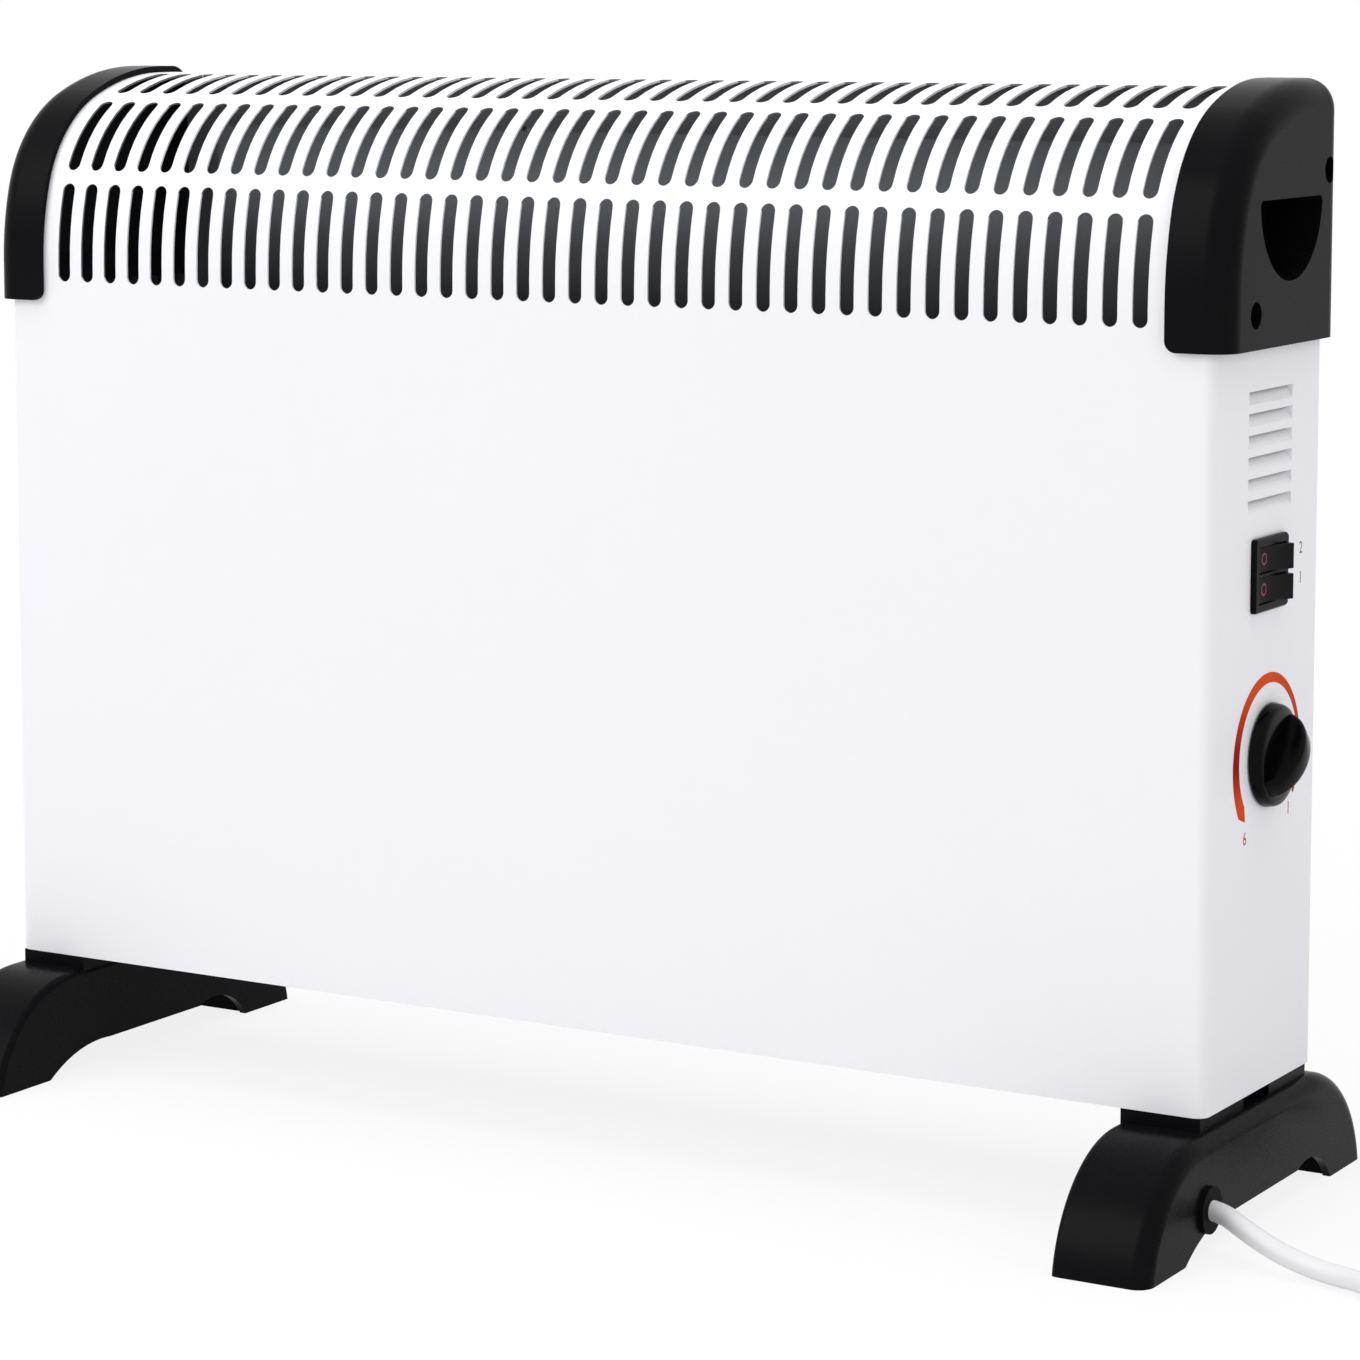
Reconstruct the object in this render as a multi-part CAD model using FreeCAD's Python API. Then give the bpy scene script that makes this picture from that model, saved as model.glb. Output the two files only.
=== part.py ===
# Free-standing convector heater: folded sheet steel body with a slotted curved top,
# moulded end caps and feet, a double rocker switch, a thermostat knob and a mains lead.
# Millimetres. Origin on the floor under the middle of the body, +X towards the control end,
# +Y to the back, +Z up.
import FreeCAD
import Part
import math
import os

V = FreeCAD.Vector
X = V(1, 0, 0)
Y = V(0, 1, 0)
Z = V(0, 0, 1)

# Sheet steel body
body_width = 500.0
body_depth = 91.0
body_bottom = 44.0
body_top = 383.5
sheet = 0.8
front_bend = 4.5
wing_rear_bend = 2.0
top_rear_bend = 9.0
return_flange = 14.0
top_flange = 26.0
wing_lap = 6.0
crown_front_r = 106.0
crown_shoulder_r = 52.0
top_flat = 8.38
crown_turns = (16.0, 50.0, 24.0)
gap = 0.3

# Air slots in the curved top, as distances along the sheet from the start of the curve
slot_pitch = 10.89
slot_width = 5.6
slot_end_margin = 26.7
slot_rows = ((-7.0, 30.5), (35.8, 70.8), (78.3, 108.2))
slot_reach = 8.0

# Louvres in the control end
louvre_count = 6
louvre_pitch = 7.27
louvre_height = 4.4
louvre_width = 37.0
louvre_depth = 3.2
louvre_below_cap = 14.7
louvre_y = 2.0

# Back panel, bottom plate and their screws
panel_overlap = 10.0
inlet_pitch = 16.0
inlet_width = 8.0
inlet_length = 58.0
inlet_end_margin = 56.0
plate_screw_r = 1.6
plate_screw_head_r = 3.2
plate_screw_head = 1.8
plate_screw_length = 8.0
side_screw_rows = 3
top_screw_columns = 4

# End caps
cap_cover = 17.0
cap_end_proud = 5.75
cap_proud = 2.4
cap_rear_proud = 1.5
cap_height = 87.9
cap_rear_corner = 11.0
cap_round = 9.5
cap_inner_corner = 4.0
cap_wall = 2.4
cap_hollow_inset = 2.0
grip_width = 53.0
grip_drop = 27.5
grip_corner = 2.0
grip_below_top = 36.7
grip_y = 3.5
grip_depth = 20.0
grip_wall = 1.8
cap_screw_front_in = 20.0
cap_screw_front_up = 11.5
cap_screw_rear_in = 9.0
cap_screw_rear_up = 57.0
cap_screw_recess_r = 4.5
cap_boss_r = 5.4
cap_boss_floor = 3.0
cap_screw_r = 1.8
cap_screw_head_r = 3.6
cap_screw_head = 2.4
cap_screw_length = 12.0
bracket_sheet = 1.2

# Feet, with lengths along them from their own middle
foot_y = -4.4
foot_width = 34.5
foot_end_proud = 3.5
foot_reach = 93.6
foot_crown = 39.3
foot_shoulder = 47.5
foot_flank = (77.6, 28.3)
foot_block_inset = 5.0
foot_block_inner_inset = 0.6
foot_notch_y = (-9.0, 13.0)
foot_notch_depth = 6.0
foot_pad = 31.0
foot_arch = 9.5
foot_arch_flat = (-25.6, 32.4)
foot_arch_front_via = (-50.6, 6.2)
foot_arch_rear_via = (49.4, 10.4)
foot_outer_round = 6.0
foot_inner_round = 2.5
foot_wall = 2.8
foot_rib_off_middle = 65.6
foot_rib = 2.2
foot_screw_in = 7.5
foot_screw_r = 2.0
foot_screw_head_r = 4.0
foot_screw_head = 2.6
foot_screw_length = 14.0
screw_clearance = 0.3

# Double rocker switch on the control end
switch_y = 0.9
switch_below_louvres = 21.3
bezel_width = 28.4
bezel_height = 25.0
bezel_proud = 2.0
bezel_chamfer = 0.6
bezel_corner = 1.6
switch_body_width = 25.9
switch_body_height = 22.5
switch_body_depth = 24.0
cutout_clearance = 0.25
rocker_radius = 11.0
rocker_height = 8.6
rocker_spacing = 10.3
rocker_valley = 2.0
rocker_floor = 7.0
rocker_pivot_depth = 0.5
rocker_half_tilt = 12.5
rocker_clearance = 0.3
trunnion_r = 1.5
trunnion_in_wall = 0.4
running_clearance = 0.05
tab_length = 8.0
tab_width = 6.3
tab_thickness = 0.8
switch_tab_y = (-8.0, 0.0, 8.0)

# Thermostat
knob_y = 3.8
knob_below_switch = 62.25
knob_r = 17.8
knob_top_r = 16.9
knob_off_panel = 0.6
knob_disc = 4.0
knob_skirt = 1.8
knob_recess = 1.8
knob_boss_r = 5.0
fin_half_length = 15.6
fin_rise = 9.2
fin_thickness = 8.4
fin_angle = 45.0
fin_round = 1.4
shaft_r = 3.0
shaft_socket = 7.0
shaft_hole_clearance = 1.5
stat_plate = 1.2
stat_plate_length = 42.0
stat_plate_height = 18.0
stat_body_depth = 22.0
stat_body_length = 30.0
stat_body_height = 26.0
stat_bearing_depth = 10.0
stat_screw_spacing = 24.0
stat_screw_r = 1.5
stat_screw_head_r = 2.8
stat_screw_head = 1.2
stat_screw_length = 5.0
stat_tab_y = (-9.0, 9.0)

# Heating element on its two brackets
element_end_room = 50.0
element_height = 58.0
rail_side_room = 15.5
rail_width = 8.0
rail_height = 14.0
rail_sheet = 1.0
mica_count = 5
mica_thickness = 1.2
mica_rise = 30.0
mica_end_margin = 12.0
coil_d = 6.0
coil_overhang = 6.0
coil_clearance = 0.3
coil_pass_spacing = 24.0
low_coil_height = 6.0
high_coil_height = 18.0
bracket_foot = 12.0
bracket_side_room = 12.5
cutout_r = 8.0
cutout_height = 7.0
shield_sheet = 0.5
shield_front_y = 8.5
shield_rear_y = 8.5
shield_foot = 6.5
shield_front_drop = 27.6
shield_rear_drop = 20.7
shield_end_margin = 40.0

# Terminal block, supply cable and wires
block_size = (26.0, 22.0, 14.0)
block_off_bracket = 4.0
block_off_rear = 11.5
block_screw_r = 1.8
block_screw_head = 1.4
cable_hole_r = 5.5
cable_hole_at = (21.0, -16.0)
cable_lead = 5.0
cable_rise = ((6.0, 1.5), (15.0, 5.0), (28.0, 11.0))
cable_slack = 0.4
cable_run = 8.5
wire_d = 2.4
wire_lead = 6.0
wire_bend = 10.0
wire_bow = 3.0
earth_screw_y = -22.0
earth_screw_off_bracket = 0.5
earth_screw_r = 2.0
earth_screw_head_r = 4.0
earth_screw_head = 2.8

# Mains lead: bush, free stretch, coil of the put-away length, tail and plug
cord_d = 7.0
bend_share = 0.45
bush_y = -49.0
bush_z = 15.0
bush_flange_r = 8.0
bush_flange = 1.5
bush_r = 6.0
bush_tip_r = 4.4
bush_length = 17.0
cord_points = ((255.0, -49.0, 15.0), (263.0, -49.0, 15.0), (274.0, -52.0, 10.8), (285.0, -55.8, 6.6),
               (298.0, -59.6, 4.2), (313.42, -65.5, 4.8))
coil_start = (342.0, -82.0)
coil_heading = -30.0
coil_half_turns = 5
coil_step = 8.9
coil_mean_r = 38.5
coil_layer = 7.8
tie_thickness = 1.0
tie_clearance = 0.3
tie_width = 9.0
tie_turn = 90.0
tail_points = ((12.0, 0.0), (25.0, -0.4), (38.0, -1.3), (50.0, -2.4), (60.0, -3.45))
tail_climb_shares = (0.0, 0.25, 0.72, 1.0, 1.0)
plug_r = 19.0
plug_body_length = 34.0
plug_entry_r = 4.6
plug_neck_r = 6.5
plug_shoulder_r = 9.5
plug_shoulder_length = 12.0
plug_neck_length = 24.0
pin_r = 2.4
pin_length = 19.0
pin_spacing = 19.0
pin_sunk = 6.0
pin_round = 1.4
earth_width = 6.0
earth_thickness = 1.0
earth_length = 20.0

# Positions that follow from the sizes above
half = body_width / 2
front = -body_depth / 2
rear = body_depth / 2
inside_front = front + sheet
inside_rear = rear - sheet
inside_end = half - sheet
turns = [0.0]
for turn in crown_turns:
    turns.append(turns[-1] + math.radians(turn))
crown_radii = [crown_front_r, crown_shoulder_r]
crown_run = sum(r * (math.cos(a) - math.cos(b)) for r, a, b in zip(crown_radii, turns, turns[1:]))
crown_radii.append((body_depth - crown_run - top_flat - top_rear_bend) / math.cos(turns[2]))
crown_rise = sum(r * (math.sin(b) - math.sin(a)) for r, a, b in zip(crown_radii, turns, turns[1:]))
curve_start = body_top - crown_rise
cap_bottom = body_top + cap_proud - cap_height
cap_end = half + cap_end_proud
wing_top = cap_bottom + wing_lap
panel_front = inside_rear - sheet
panel_top = body_top - top_flange + panel_overlap
plate_top = body_bottom + sheet
bracket_x = half - cap_cover
foot_outer = half + foot_end_proud
foot_inner = foot_outer - foot_width
foot_mid = (foot_outer + foot_inner) / 2
foot_ceiling = foot_crown - foot_wall
foot_screw_y = rear - foot_screw_in
block_y = rear - block_off_rear - block_size[1]
louvre_bottom = cap_bottom - louvre_below_cap - (louvre_count - 1) * louvre_pitch - louvre_height
switch_z = louvre_bottom - switch_below_louvres
knob_z = switch_z - knob_below_switch
element_length = body_width - 2 * element_end_room
bracket_end = element_length / 2 + bracket_foot
rail_y = rear - rail_side_room
pivot_x = half - rocker_pivot_depth
cord_r = cord_d / 2
coil_z = tie_thickness + tie_clearance + cord_r


# Plain solids
def box(x0, y0, z0, x1, y1, z1):
    return Part.makeBox(x1 - x0, y1 - y0, z1 - z0, V(x0, y0, z0))


def rod(start, direction, r, length):
    return Part.makeCylinder(r, length, V(*start), direction)


def line(a, b):
    return Part.LineSegment(a, b).toShape()


def arc(a, via, b):
    return Part.Arc(a, via, b).toShape()


def face_of(edges):
    return Part.Face(Part.Wire(Part.sortEdges(edges)[0]))


def polygon(points):
    return Part.Face(Part.makePolygon(list(points) + [points[0]]))


def ellipse_face(centre, a, a_half, b, b_half):
    # A flat ellipse with its half axes along the directions a and b
    ends = [(a_half, centre + a * a_half), (b_half, centre + b * b_half)]
    major, minor = [point for length, point in sorted(ends, key=lambda end: -end[0])]
    return Part.Face(Part.Wire(Part.Ellipse(major, minor, centre).toShape()))


def fuse(shapes):
    whole = shapes[0].multiFuse(shapes[1:]) if len(shapes) > 1 else shapes[0]
    return whole.removeSplitter()


def mirrored(shape):
    return shape.mirror(V(0, 0, 0), X)


def group(shapes):
    return Part.makeCompound(shapes)


def pan_screw(start, direction, r, length, head_r, head):
    # A shank with a flat round head behind the point where it meets the sheet
    back = V(*start) - direction * head
    return fuse([rod(start, direction, r, length), Part.makeCylinder(head_r, head, back, direction)])


# The body's section in the plane x = 0, from the front's lower edge over the top to the back
def section_path(inset, z_front, rear_y, rear_r, z_rear):
    y = front + inset
    z = curve_start
    edges = [line(V(0, y, z_front), V(0, y, z))]
    for radius, a, b in zip(crown_radii, turns, turns[1:]):
        r = radius - inset
        points = []
        for t in (a, (a + b) / 2, b):
            points.append(V(0, y + r * (math.cos(a) - math.cos(t)), z + r * (math.sin(t) - math.sin(a))))
        edges.append(arc(*points))
        y = points[2].y
        z = points[2].z
    corner = V(0, rear_y - rear_r, z - rear_r)
    slant = rear_r * math.sqrt(0.5)
    edges.append(line(V(0, y, z), corner + Z * rear_r))
    edges.append(arc(corner + Z * rear_r, corner + Y * slant + Z * slant, corner + Y * rear_r))
    edges.append(line(corner + Y * rear_r, V(0, rear_y, z_rear)))
    return edges


def section_prism(inset, z_low, rear_y, rear_r, x0, x1):
    edges = section_path(inset, z_low, rear_y, rear_r, z_low)
    edges.append(line(V(0, rear_y, z_low), V(0, front + inset, z_low)))
    solid = face_of(edges).extrude(X * (x1 - x0))
    solid.translate(X * x0)
    return solid


def on_section(s):
    # The point of the outer section at a distance s along it from the start of the curve
    y = front
    z = curve_start
    if s <= 0:
        return V(0, y, z + s)
    for radius, a, b in zip(crown_radii, turns, turns[1:]):
        t = min(b, a + s / radius)
        y += radius * (math.cos(a) - math.cos(t))
        z += radius * (math.sin(t) - math.sin(a))
        s -= radius * (t - a)
    return V(0, y + s, z)


# Front shell: front, curved top and end wings folded from one sheet
def plan_prism(inset, z0, z1):
    # The body's plan with its bends, at a distance inside the outer faces
    x = half - inset
    y0 = front + inset
    y1 = rear - inset
    edges = []
    corners = ((x, y0, front_bend), (x, y1, wing_rear_bend), (-x, y1, wing_rear_bend), (-x, y0, front_bend))
    ends = []
    for cx, cy, bend in corners:
        r = bend - inset
        sx = math.copysign(1, cx)
        sy = math.copysign(1, cy)
        centre = V(cx - sx * r, cy - sy * r, z0)
        on_x = centre + X * sx * r
        on_y = centre + Y * sy * r
        middle = centre + V(sx, sy, 0) * (r * math.sqrt(0.5))
        edges.append(arc(on_x, middle, on_y))
        ends.append((on_x, on_y))
    edges.append(line(ends[0][0], ends[1][0]))
    edges.append(line(ends[1][1], ends[2][1]))
    edges.append(line(ends[2][0], ends[3][0]))
    edges.append(line(ends[3][1], ends[0][1]))
    return face_of(edges).extrude(Z * (z1 - z0))


def slot_tool(start, end):
    # One round-ended slot through the sheet, square to the chord between its ends
    a = on_section(start)
    b = on_section(end)
    along = (b - a).normalize()
    out = along.cross(X)
    r = slot_width / 2
    side = X * r
    c = a + along * r
    d = b - along * r
    edges = [line(c + side, d + side), arc(d + side, b, d - side)]
    edges += [line(d - side, c - side), arc(c - side, a, c + side)]
    face = face_of(edges)
    face.translate(out * slot_reach)
    return face.extrude(out * (-2 * slot_reach))


def slot_tools():
    columns = int((body_width - 2 * slot_end_margin) / slot_pitch) + 1
    first = -(columns - 1) * slot_pitch / 2
    tools = []
    for start, end in slot_rows:
        tool = slot_tool(start, end)
        tools += [tool.translated(X * (first + i * slot_pitch)) for i in range(columns)]
    return tools


def louvres():
    # Openings of the vents under the end cap, and their inward lips with closed ends
    y0 = louvre_y - louvre_width / 2
    openings = []
    lips = []
    for i in range(louvre_count):
        z1 = cap_bottom - louvre_below_cap - i * louvre_pitch
        z0 = z1 - louvre_height
        openings.append(box(inside_end - sheet, y0, z0, half + sheet, y0 + louvre_width, z1))
        lip = polygon([V(half, y0, z0), V(inside_end, y0, z0), V(inside_end - louvre_depth, y0, z1),
                       V(half - louvre_depth, y0, z1)])
        lips.append(lip.extrude(Y * louvre_width))
        for y in (y0 - sheet, y0 + louvre_width):
            end_wall = polygon([V(inside_end, y, z0), V(inside_end - louvre_depth, y, z1),
                                V(inside_end, y, z1)])
            lips.append(end_wall.extrude(Y * sheet))
    return openings, lips


def panel_screw_places():
    # Screws through the return flanges and the top flange into the back panel
    x_side = half - return_flange / 2
    z_low = body_bottom + return_flange
    z_step = (wing_top - return_flange - z_low) / (side_screw_rows - 1)
    places = [(s * x_side, z_low + i * z_step) for s in (-1, 1) for i in range(side_screw_rows)]
    x_step = (body_width - 4 * cap_cover) / (top_screw_columns - 1)
    z_top = body_top - top_flange + panel_overlap / 2
    return places + [(-half + 2 * cap_cover + i * x_step, z_top) for i in range(top_screw_columns)]


def panel_screw_holes():
    r = plate_screw_r + screw_clearance
    return [rod((x, panel_front - sheet, z), Y, r, 4 * sheet) for x, z in panel_screw_places()]


def front_shell():
    rear_edge = body_top - top_flange
    outer = section_path(0, wing_top, rear, top_rear_bend, rear_edge)
    inner = section_path(sheet, wing_top, inside_rear, top_rear_bend - sheet, rear_edge)
    lips = [line(V(0, front, wing_top), V(0, inside_front, wing_top)),
            line(V(0, rear, rear_edge), V(0, inside_rear, rear_edge))]
    top_x = half - front_bend
    top = face_of(outer + inner + lips).extrude(X * (2 * top_x))
    top.translate(X * -top_x)
    walls = plan_prism(0, body_bottom, wing_top).cut(plan_prism(sheet, body_bottom, wing_top))
    opening = half - return_flange
    walls = walls.cut(box(-opening, panel_front, body_bottom, opening, rear + sheet, wing_top))
    vents, vent_lips = louvres()
    wide = switch_body_width / 2 + cutout_clearance
    high = switch_body_height / 2 + cutout_clearance
    cuts = vents + panel_screw_holes()
    cuts.append(box(inside_end - sheet, switch_y - wide, switch_z - high,
                    half + sheet, switch_y + wide, switch_z + high))
    cuts.append(rod((inside_end - sheet, knob_y, knob_z), X, shaft_r + shaft_hole_clearance, 3 * sheet))
    for y in stat_screw_places():
        cuts.append(rod((inside_end - sheet, y, knob_z), X, stat_screw_r + screw_clearance, 3 * sheet))
    top = top.cut(group(slot_tools()))
    return fuse([top, walls]).cut(cuts).fuse(vent_lips).removeSplitter()


# Back panel and bottom plate, tucked inside the shell's flanges
def back_panel():
    x = half - wing_rear_bend - gap
    panel = box(-x, panel_front, body_bottom, x, inside_rear, wing_top)
    narrow = bracket_x - gap - bracket_sheet
    tongue = box(-narrow, panel_front, body_bottom, narrow, inside_rear, panel_top)
    return fuse([panel, tongue]).cut(panel_screw_holes())


def back_panel_screws():
    sizes = (plate_screw_r, plate_screw_length, plate_screw_head_r, plate_screw_head)
    return group([pan_screw((x, rear, z), -Y, *sizes) for x, z in panel_screw_places()])


def foot_screw_places():
    return [(s * foot_mid, t * foot_screw_y) for s in (-1, 1) for t in (-1, 1)]


def bottom_plate():
    columns = int((body_width - 2 * inlet_end_margin) / inlet_pitch) + 1
    first = -(columns - 1) * inlet_pitch / 2
    cuts = []
    for i in range(columns):
        cx = first + i * inlet_pitch
        cuts.append(box(cx - inlet_width / 2, -inlet_length / 2, body_bottom - sheet,
                        cx + inlet_width / 2, inlet_length / 2, plate_top + sheet))
    r = foot_screw_r + screw_clearance
    cuts += [rod((a, b, body_bottom - sheet), Z, r, 3 * sheet) for a, b in foot_screw_places()]
    hx, hy = cable_hole_at
    cuts.append(rod((half - hx, hy, body_bottom - sheet), Z, cable_hole_r, 3 * sheet))
    cuts.append(rod((earth_screw_x(), earth_screw_y, body_bottom - sheet), Z, earth_screw_r + screw_clearance,
                    3 * sheet))
    plate = plan_prism(sheet + gap, body_bottom, plate_top)
    return plate.common(box(-half, front, body_bottom, half, panel_front - gap, plate_top)).cut(cuts)


# End caps, their brackets and screws
def cap_screw_places():
    return [(front + cap_screw_front_in, cap_bottom + cap_screw_front_up),
            (rear - cap_screw_rear_in, cap_bottom + cap_screw_rear_up)]


def grip_outline(grow, x0, x1):
    # Flat top with a half ellipse hanging from it
    ry = grip_width / 2 + grow
    rz = grip_drop + grow
    centre = V(x0, grip_y, body_top - grip_below_top)
    solid = ellipse_face(centre, Z, rz, Y, ry).extrude(X * (x1 - x0))
    solid = solid.cut(box(x0, grip_y - 2 * ry, centre.z + grow, x1, grip_y + 2 * ry, centre.z + 2 * rz))
    corners = [e for e in solid.Edges if e.BoundBox.XLength > gap and e.BoundBox.ZMin > centre.z - gap]
    return solid.makeFillet(grip_corner + grow, corners)


def right_end_cap():
    cap = section_prism(-cap_proud, cap_bottom, rear + cap_rear_proud, cap_rear_corner, bracket_x, cap_end)
    rim = [e for e in cap.Edges
           if abs(e.BoundBox.XMin - cap_end) < gap and e.BoundBox.ZMax > cap_bottom + gap]
    cap = cap.makeFillet(cap_round, rim)
    corner = [e for e in cap.Edges
              if e.BoundBox.XMax < bracket_x + gap and e.BoundBox.ZMax < cap_bottom + gap]
    cap = cap.makeFillet(cap_inner_corner, corner)
    body = section_prism(-gap, body_bottom, rear + gap, top_rear_bend + gap, bracket_x, half + gap)
    hollow = section_prism(cap_hollow_inset, cap_bottom + cap_wall, rear - cap_hollow_inset,
                           top_rear_bend - cap_hollow_inset, half, cap_end - cap_wall)
    cap = cap.cut([body, hollow])
    face_x = cap_end - cap_wall
    pocket_x = cap_end - grip_depth
    adds = [grip_outline(grip_wall, pocket_x - grip_wall, face_x)]
    adds += [rod((bracket_x, y, z), X, cap_boss_r, face_x - bracket_x) for y, z in cap_screw_places()]
    cuts = [grip_outline(0, pocket_x, cap_end)]
    for y, z in cap_screw_places():
        cuts.append(rod((bracket_x + cap_boss_floor, y, z), X, cap_screw_recess_r, cap_end - bracket_x))
        cuts.append(rod((bracket_x, y, z), X, cap_screw_r + screw_clearance, cap_boss_floor))
    return fuse([cap] + adds).cut(cuts)


def right_end_bracket():
    inset = sheet + gap
    inner_x = bracket_x - bracket_sheet
    plate = section_prism(inset, wing_top, panel_front - gap, top_rear_bend - inset, inner_x, bracket_x)
    r = cap_screw_r + screw_clearance
    return plate.cut([rod((inner_x, y, z), X, r, bracket_sheet) for y, z in cap_screw_places()])


def right_cap_screws():
    seat = bracket_x + cap_boss_floor
    return [pan_screw((seat, y, z), -X, cap_screw_r, cap_screw_length, cap_screw_head_r, cap_screw_head)
            for y, z in cap_screw_places()]


# Feet: hollow arched mouldings that the bottom plate stands on
def foot_arcs(wall, x):
    # Front and rear flanks and the flat top between them, at a distance inside the outer faces
    fy, fz = foot_flank
    a = V(x, foot_y - foot_shoulder, foot_crown)
    b = V(x, foot_y - fy, fz)
    c = V(x, foot_y - foot_reach, 0)
    circle = Part.Circle(a, b, c)
    centre = circle.Center
    points = [centre + (p - centre).normalize() * (circle.Radius - wall) for p in (a, b, c)]
    flipped = [V(p.x, 2 * foot_y - p.y, p.z) for p in points]
    return points, flipped


def foot_outline(wall, x):
    points, flipped = foot_arcs(wall, x)
    edges = [arc(*points), line(points[0], flipped[0]), arc(*flipped)]
    return edges, points[2], flipped[2]


def right_foot():
    edges, toe, heel = foot_outline(0, foot_inner)
    middle = V(foot_inner, foot_y, 0)
    pad_front = toe + Y * foot_pad
    pad_rear = heel - Y * foot_pad
    flat_front = middle + V(0, foot_arch_flat[0], foot_arch)
    flat_rear = middle + V(0, foot_arch_flat[1], foot_arch)
    edges.append(line(toe, pad_front))
    edges.append(arc(pad_front, middle + V(0, *foot_arch_front_via), flat_front))
    edges.append(line(flat_front, flat_rear))
    edges.append(arc(flat_rear, middle + V(0, *foot_arch_rear_via), pad_rear))
    edges.append(line(pad_rear, heel))
    foot = face_of(edges).extrude(X * foot_width)
    for x, r in ((foot_outer, foot_outer_round), (foot_inner, foot_inner_round)):
        rim = [e for e in foot.Edges if abs(e.BoundBox.XMin - x) < gap and abs(e.BoundBox.XMax - x) < gap
               and e.BoundBox.ZMax > foot_arch_rear_via[1] + foot_wall]
        foot = foot.makeFillet(r, rim)
    # The block that carries the body, with a notch in its outer edge
    y0 = front + gap
    y1 = rear - gap
    edge_x = foot_outer - foot_block_inset
    notch_x = half - foot_notch_depth
    blocks = [box(foot_inner + foot_block_inner_inset, y0, foot_ceiling, notch_x, y1, body_bottom),
              box(notch_x, y0, foot_ceiling, edge_x, foot_notch_y[0], body_bottom),
              box(notch_x, foot_notch_y[1], foot_ceiling, edge_x, y1, body_bottom)]
    inner, low_front, low_rear = foot_outline(foot_wall, foot_inner + foot_wall)
    drop = Z * -foot_crown
    inner.append(line(low_front, low_front + drop))
    inner.append(line(low_front + drop, low_rear + drop))
    inner.append(line(low_rear + drop, low_rear))
    hollow = face_of(inner).extrude(X * (foot_width - 2 * foot_wall))
    rib_places = (foot_y - foot_rib_off_middle, foot_y + foot_rib_off_middle)
    ribs = [box(foot_inner, y - foot_rib / 2, -foot_crown, foot_outer, y + foot_rib / 2, foot_crown)
            for y in rib_places]
    foot = fuse([foot] + blocks).cut(hollow.cut(ribs))
    r = foot_screw_r + screw_clearance
    return foot.cut([rod((foot_mid, s * foot_screw_y, 0), Z, r, body_bottom) for s in (-1, 1)])


def foot_screws():
    sizes = (foot_screw_r, foot_screw_length, foot_screw_head_r, foot_screw_head)
    return group([pan_screw((x, y, foot_ceiling), Z, *sizes) for x, y in foot_screw_places()])


# Double rocker switch
def rocker_places():
    return [switch_z + rocker_spacing / 2, switch_z - rocker_spacing / 2]


def switch_frame():
    bezel = box(half, switch_y - bezel_width / 2, switch_z - bezel_height / 2,
                half + bezel_proud, switch_y + bezel_width / 2, switch_z + bezel_height / 2)
    bezel = bezel.makeFillet(bezel_corner, [e for e in bezel.Edges if e.BoundBox.XLength > gap])
    bezel = bezel.makeChamfer(bezel_chamfer, [e for e in bezel.Edges if e.BoundBox.XMin > half + gap])
    back = half - switch_body_depth
    body = box(back, switch_y - switch_body_width / 2, switch_z - switch_body_height / 2,
               half, switch_y + switch_body_width / 2, switch_z + switch_body_height / 2)
    wells = []
    reach = rocker_radius + rocker_clearance
    high = rocker_height / 2 + rocker_clearance
    for z in rocker_places():
        wells.append(box(pivot_x - reach, switch_y - reach, z - high,
                         half + bezel_proud, switch_y + reach, z + high))
    axle = rod((pivot_x, switch_y, switch_z - switch_body_height / 2), Z, trunnion_r + running_clearance,
               switch_body_height)
    return fuse([bezel, body]).cut(wells + [axle])


def rocker(z):
    # A rocker with two sloping facets, tilted so that its back end stands out of the frame
    end = rocker_radius
    slope = end * math.tan(math.radians(rocker_half_tilt))
    low = z - rocker_height / 2
    outline = [V(pivot_x - rocker_floor, switch_y - end, low), V(pivot_x - rocker_floor, switch_y + end, low),
               V(pivot_x + rocker_valley + slope, switch_y + end, low),
               V(pivot_x + rocker_valley, switch_y, low),
               V(pivot_x + rocker_valley + slope, switch_y - end, low)]
    solid = polygon(outline).extrude(Z * rocker_height)
    solid = solid.common(rod((pivot_x, switch_y, low), Z, rocker_radius, rocker_height))
    reach = rocker_clearance + trunnion_in_wall
    axle = rod((pivot_x, switch_y, low - reach), Z, trunnion_r, rocker_height + 2 * reach)
    solid = fuse([solid, axle])
    solid.rotate(V(pivot_x, switch_y, z), Z, -rocker_half_tilt)
    return solid


def blade(x, y, z):
    # A flat push-on terminal that stands out of the back of a switch or thermostat
    thick = tab_thickness / 2
    wide = tab_width / 2
    return box(x - tab_length, y - thick, z - wide, x, y + thick, z + wide)


def switch_terminals():
    back = half - switch_body_depth
    return group([blade(back, switch_y + y, z) for y in switch_tab_y for z in rocker_places()])


# Thermostat behind the control end, with its shaft and knob
def stat_screw_places():
    return [knob_y - stat_screw_spacing / 2, knob_y + stat_screw_spacing / 2]


def thermostat_body():
    face_x = inside_end
    back = face_x - stat_plate
    plate = box(back, knob_y - stat_plate_length / 2, knob_z - stat_plate_height / 2,
                face_x, knob_y + stat_plate_length / 2, knob_z + stat_plate_height / 2)
    body = box(back - stat_body_depth, knob_y - stat_body_length / 2, knob_z - stat_body_height / 2,
               back, knob_y + stat_body_length / 2, knob_z + stat_body_height / 2)
    cuts = [rod((back - stat_bearing_depth, knob_y, knob_z), X, shaft_r + running_clearance,
                stat_bearing_depth + stat_plate)]
    depth = stat_screw_length + gap
    for y in stat_screw_places():
        cuts.append(rod((face_x - depth, y, knob_z), X, stat_screw_r + screw_clearance, depth))
    return fuse([plate, body]).cut(cuts)


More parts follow.
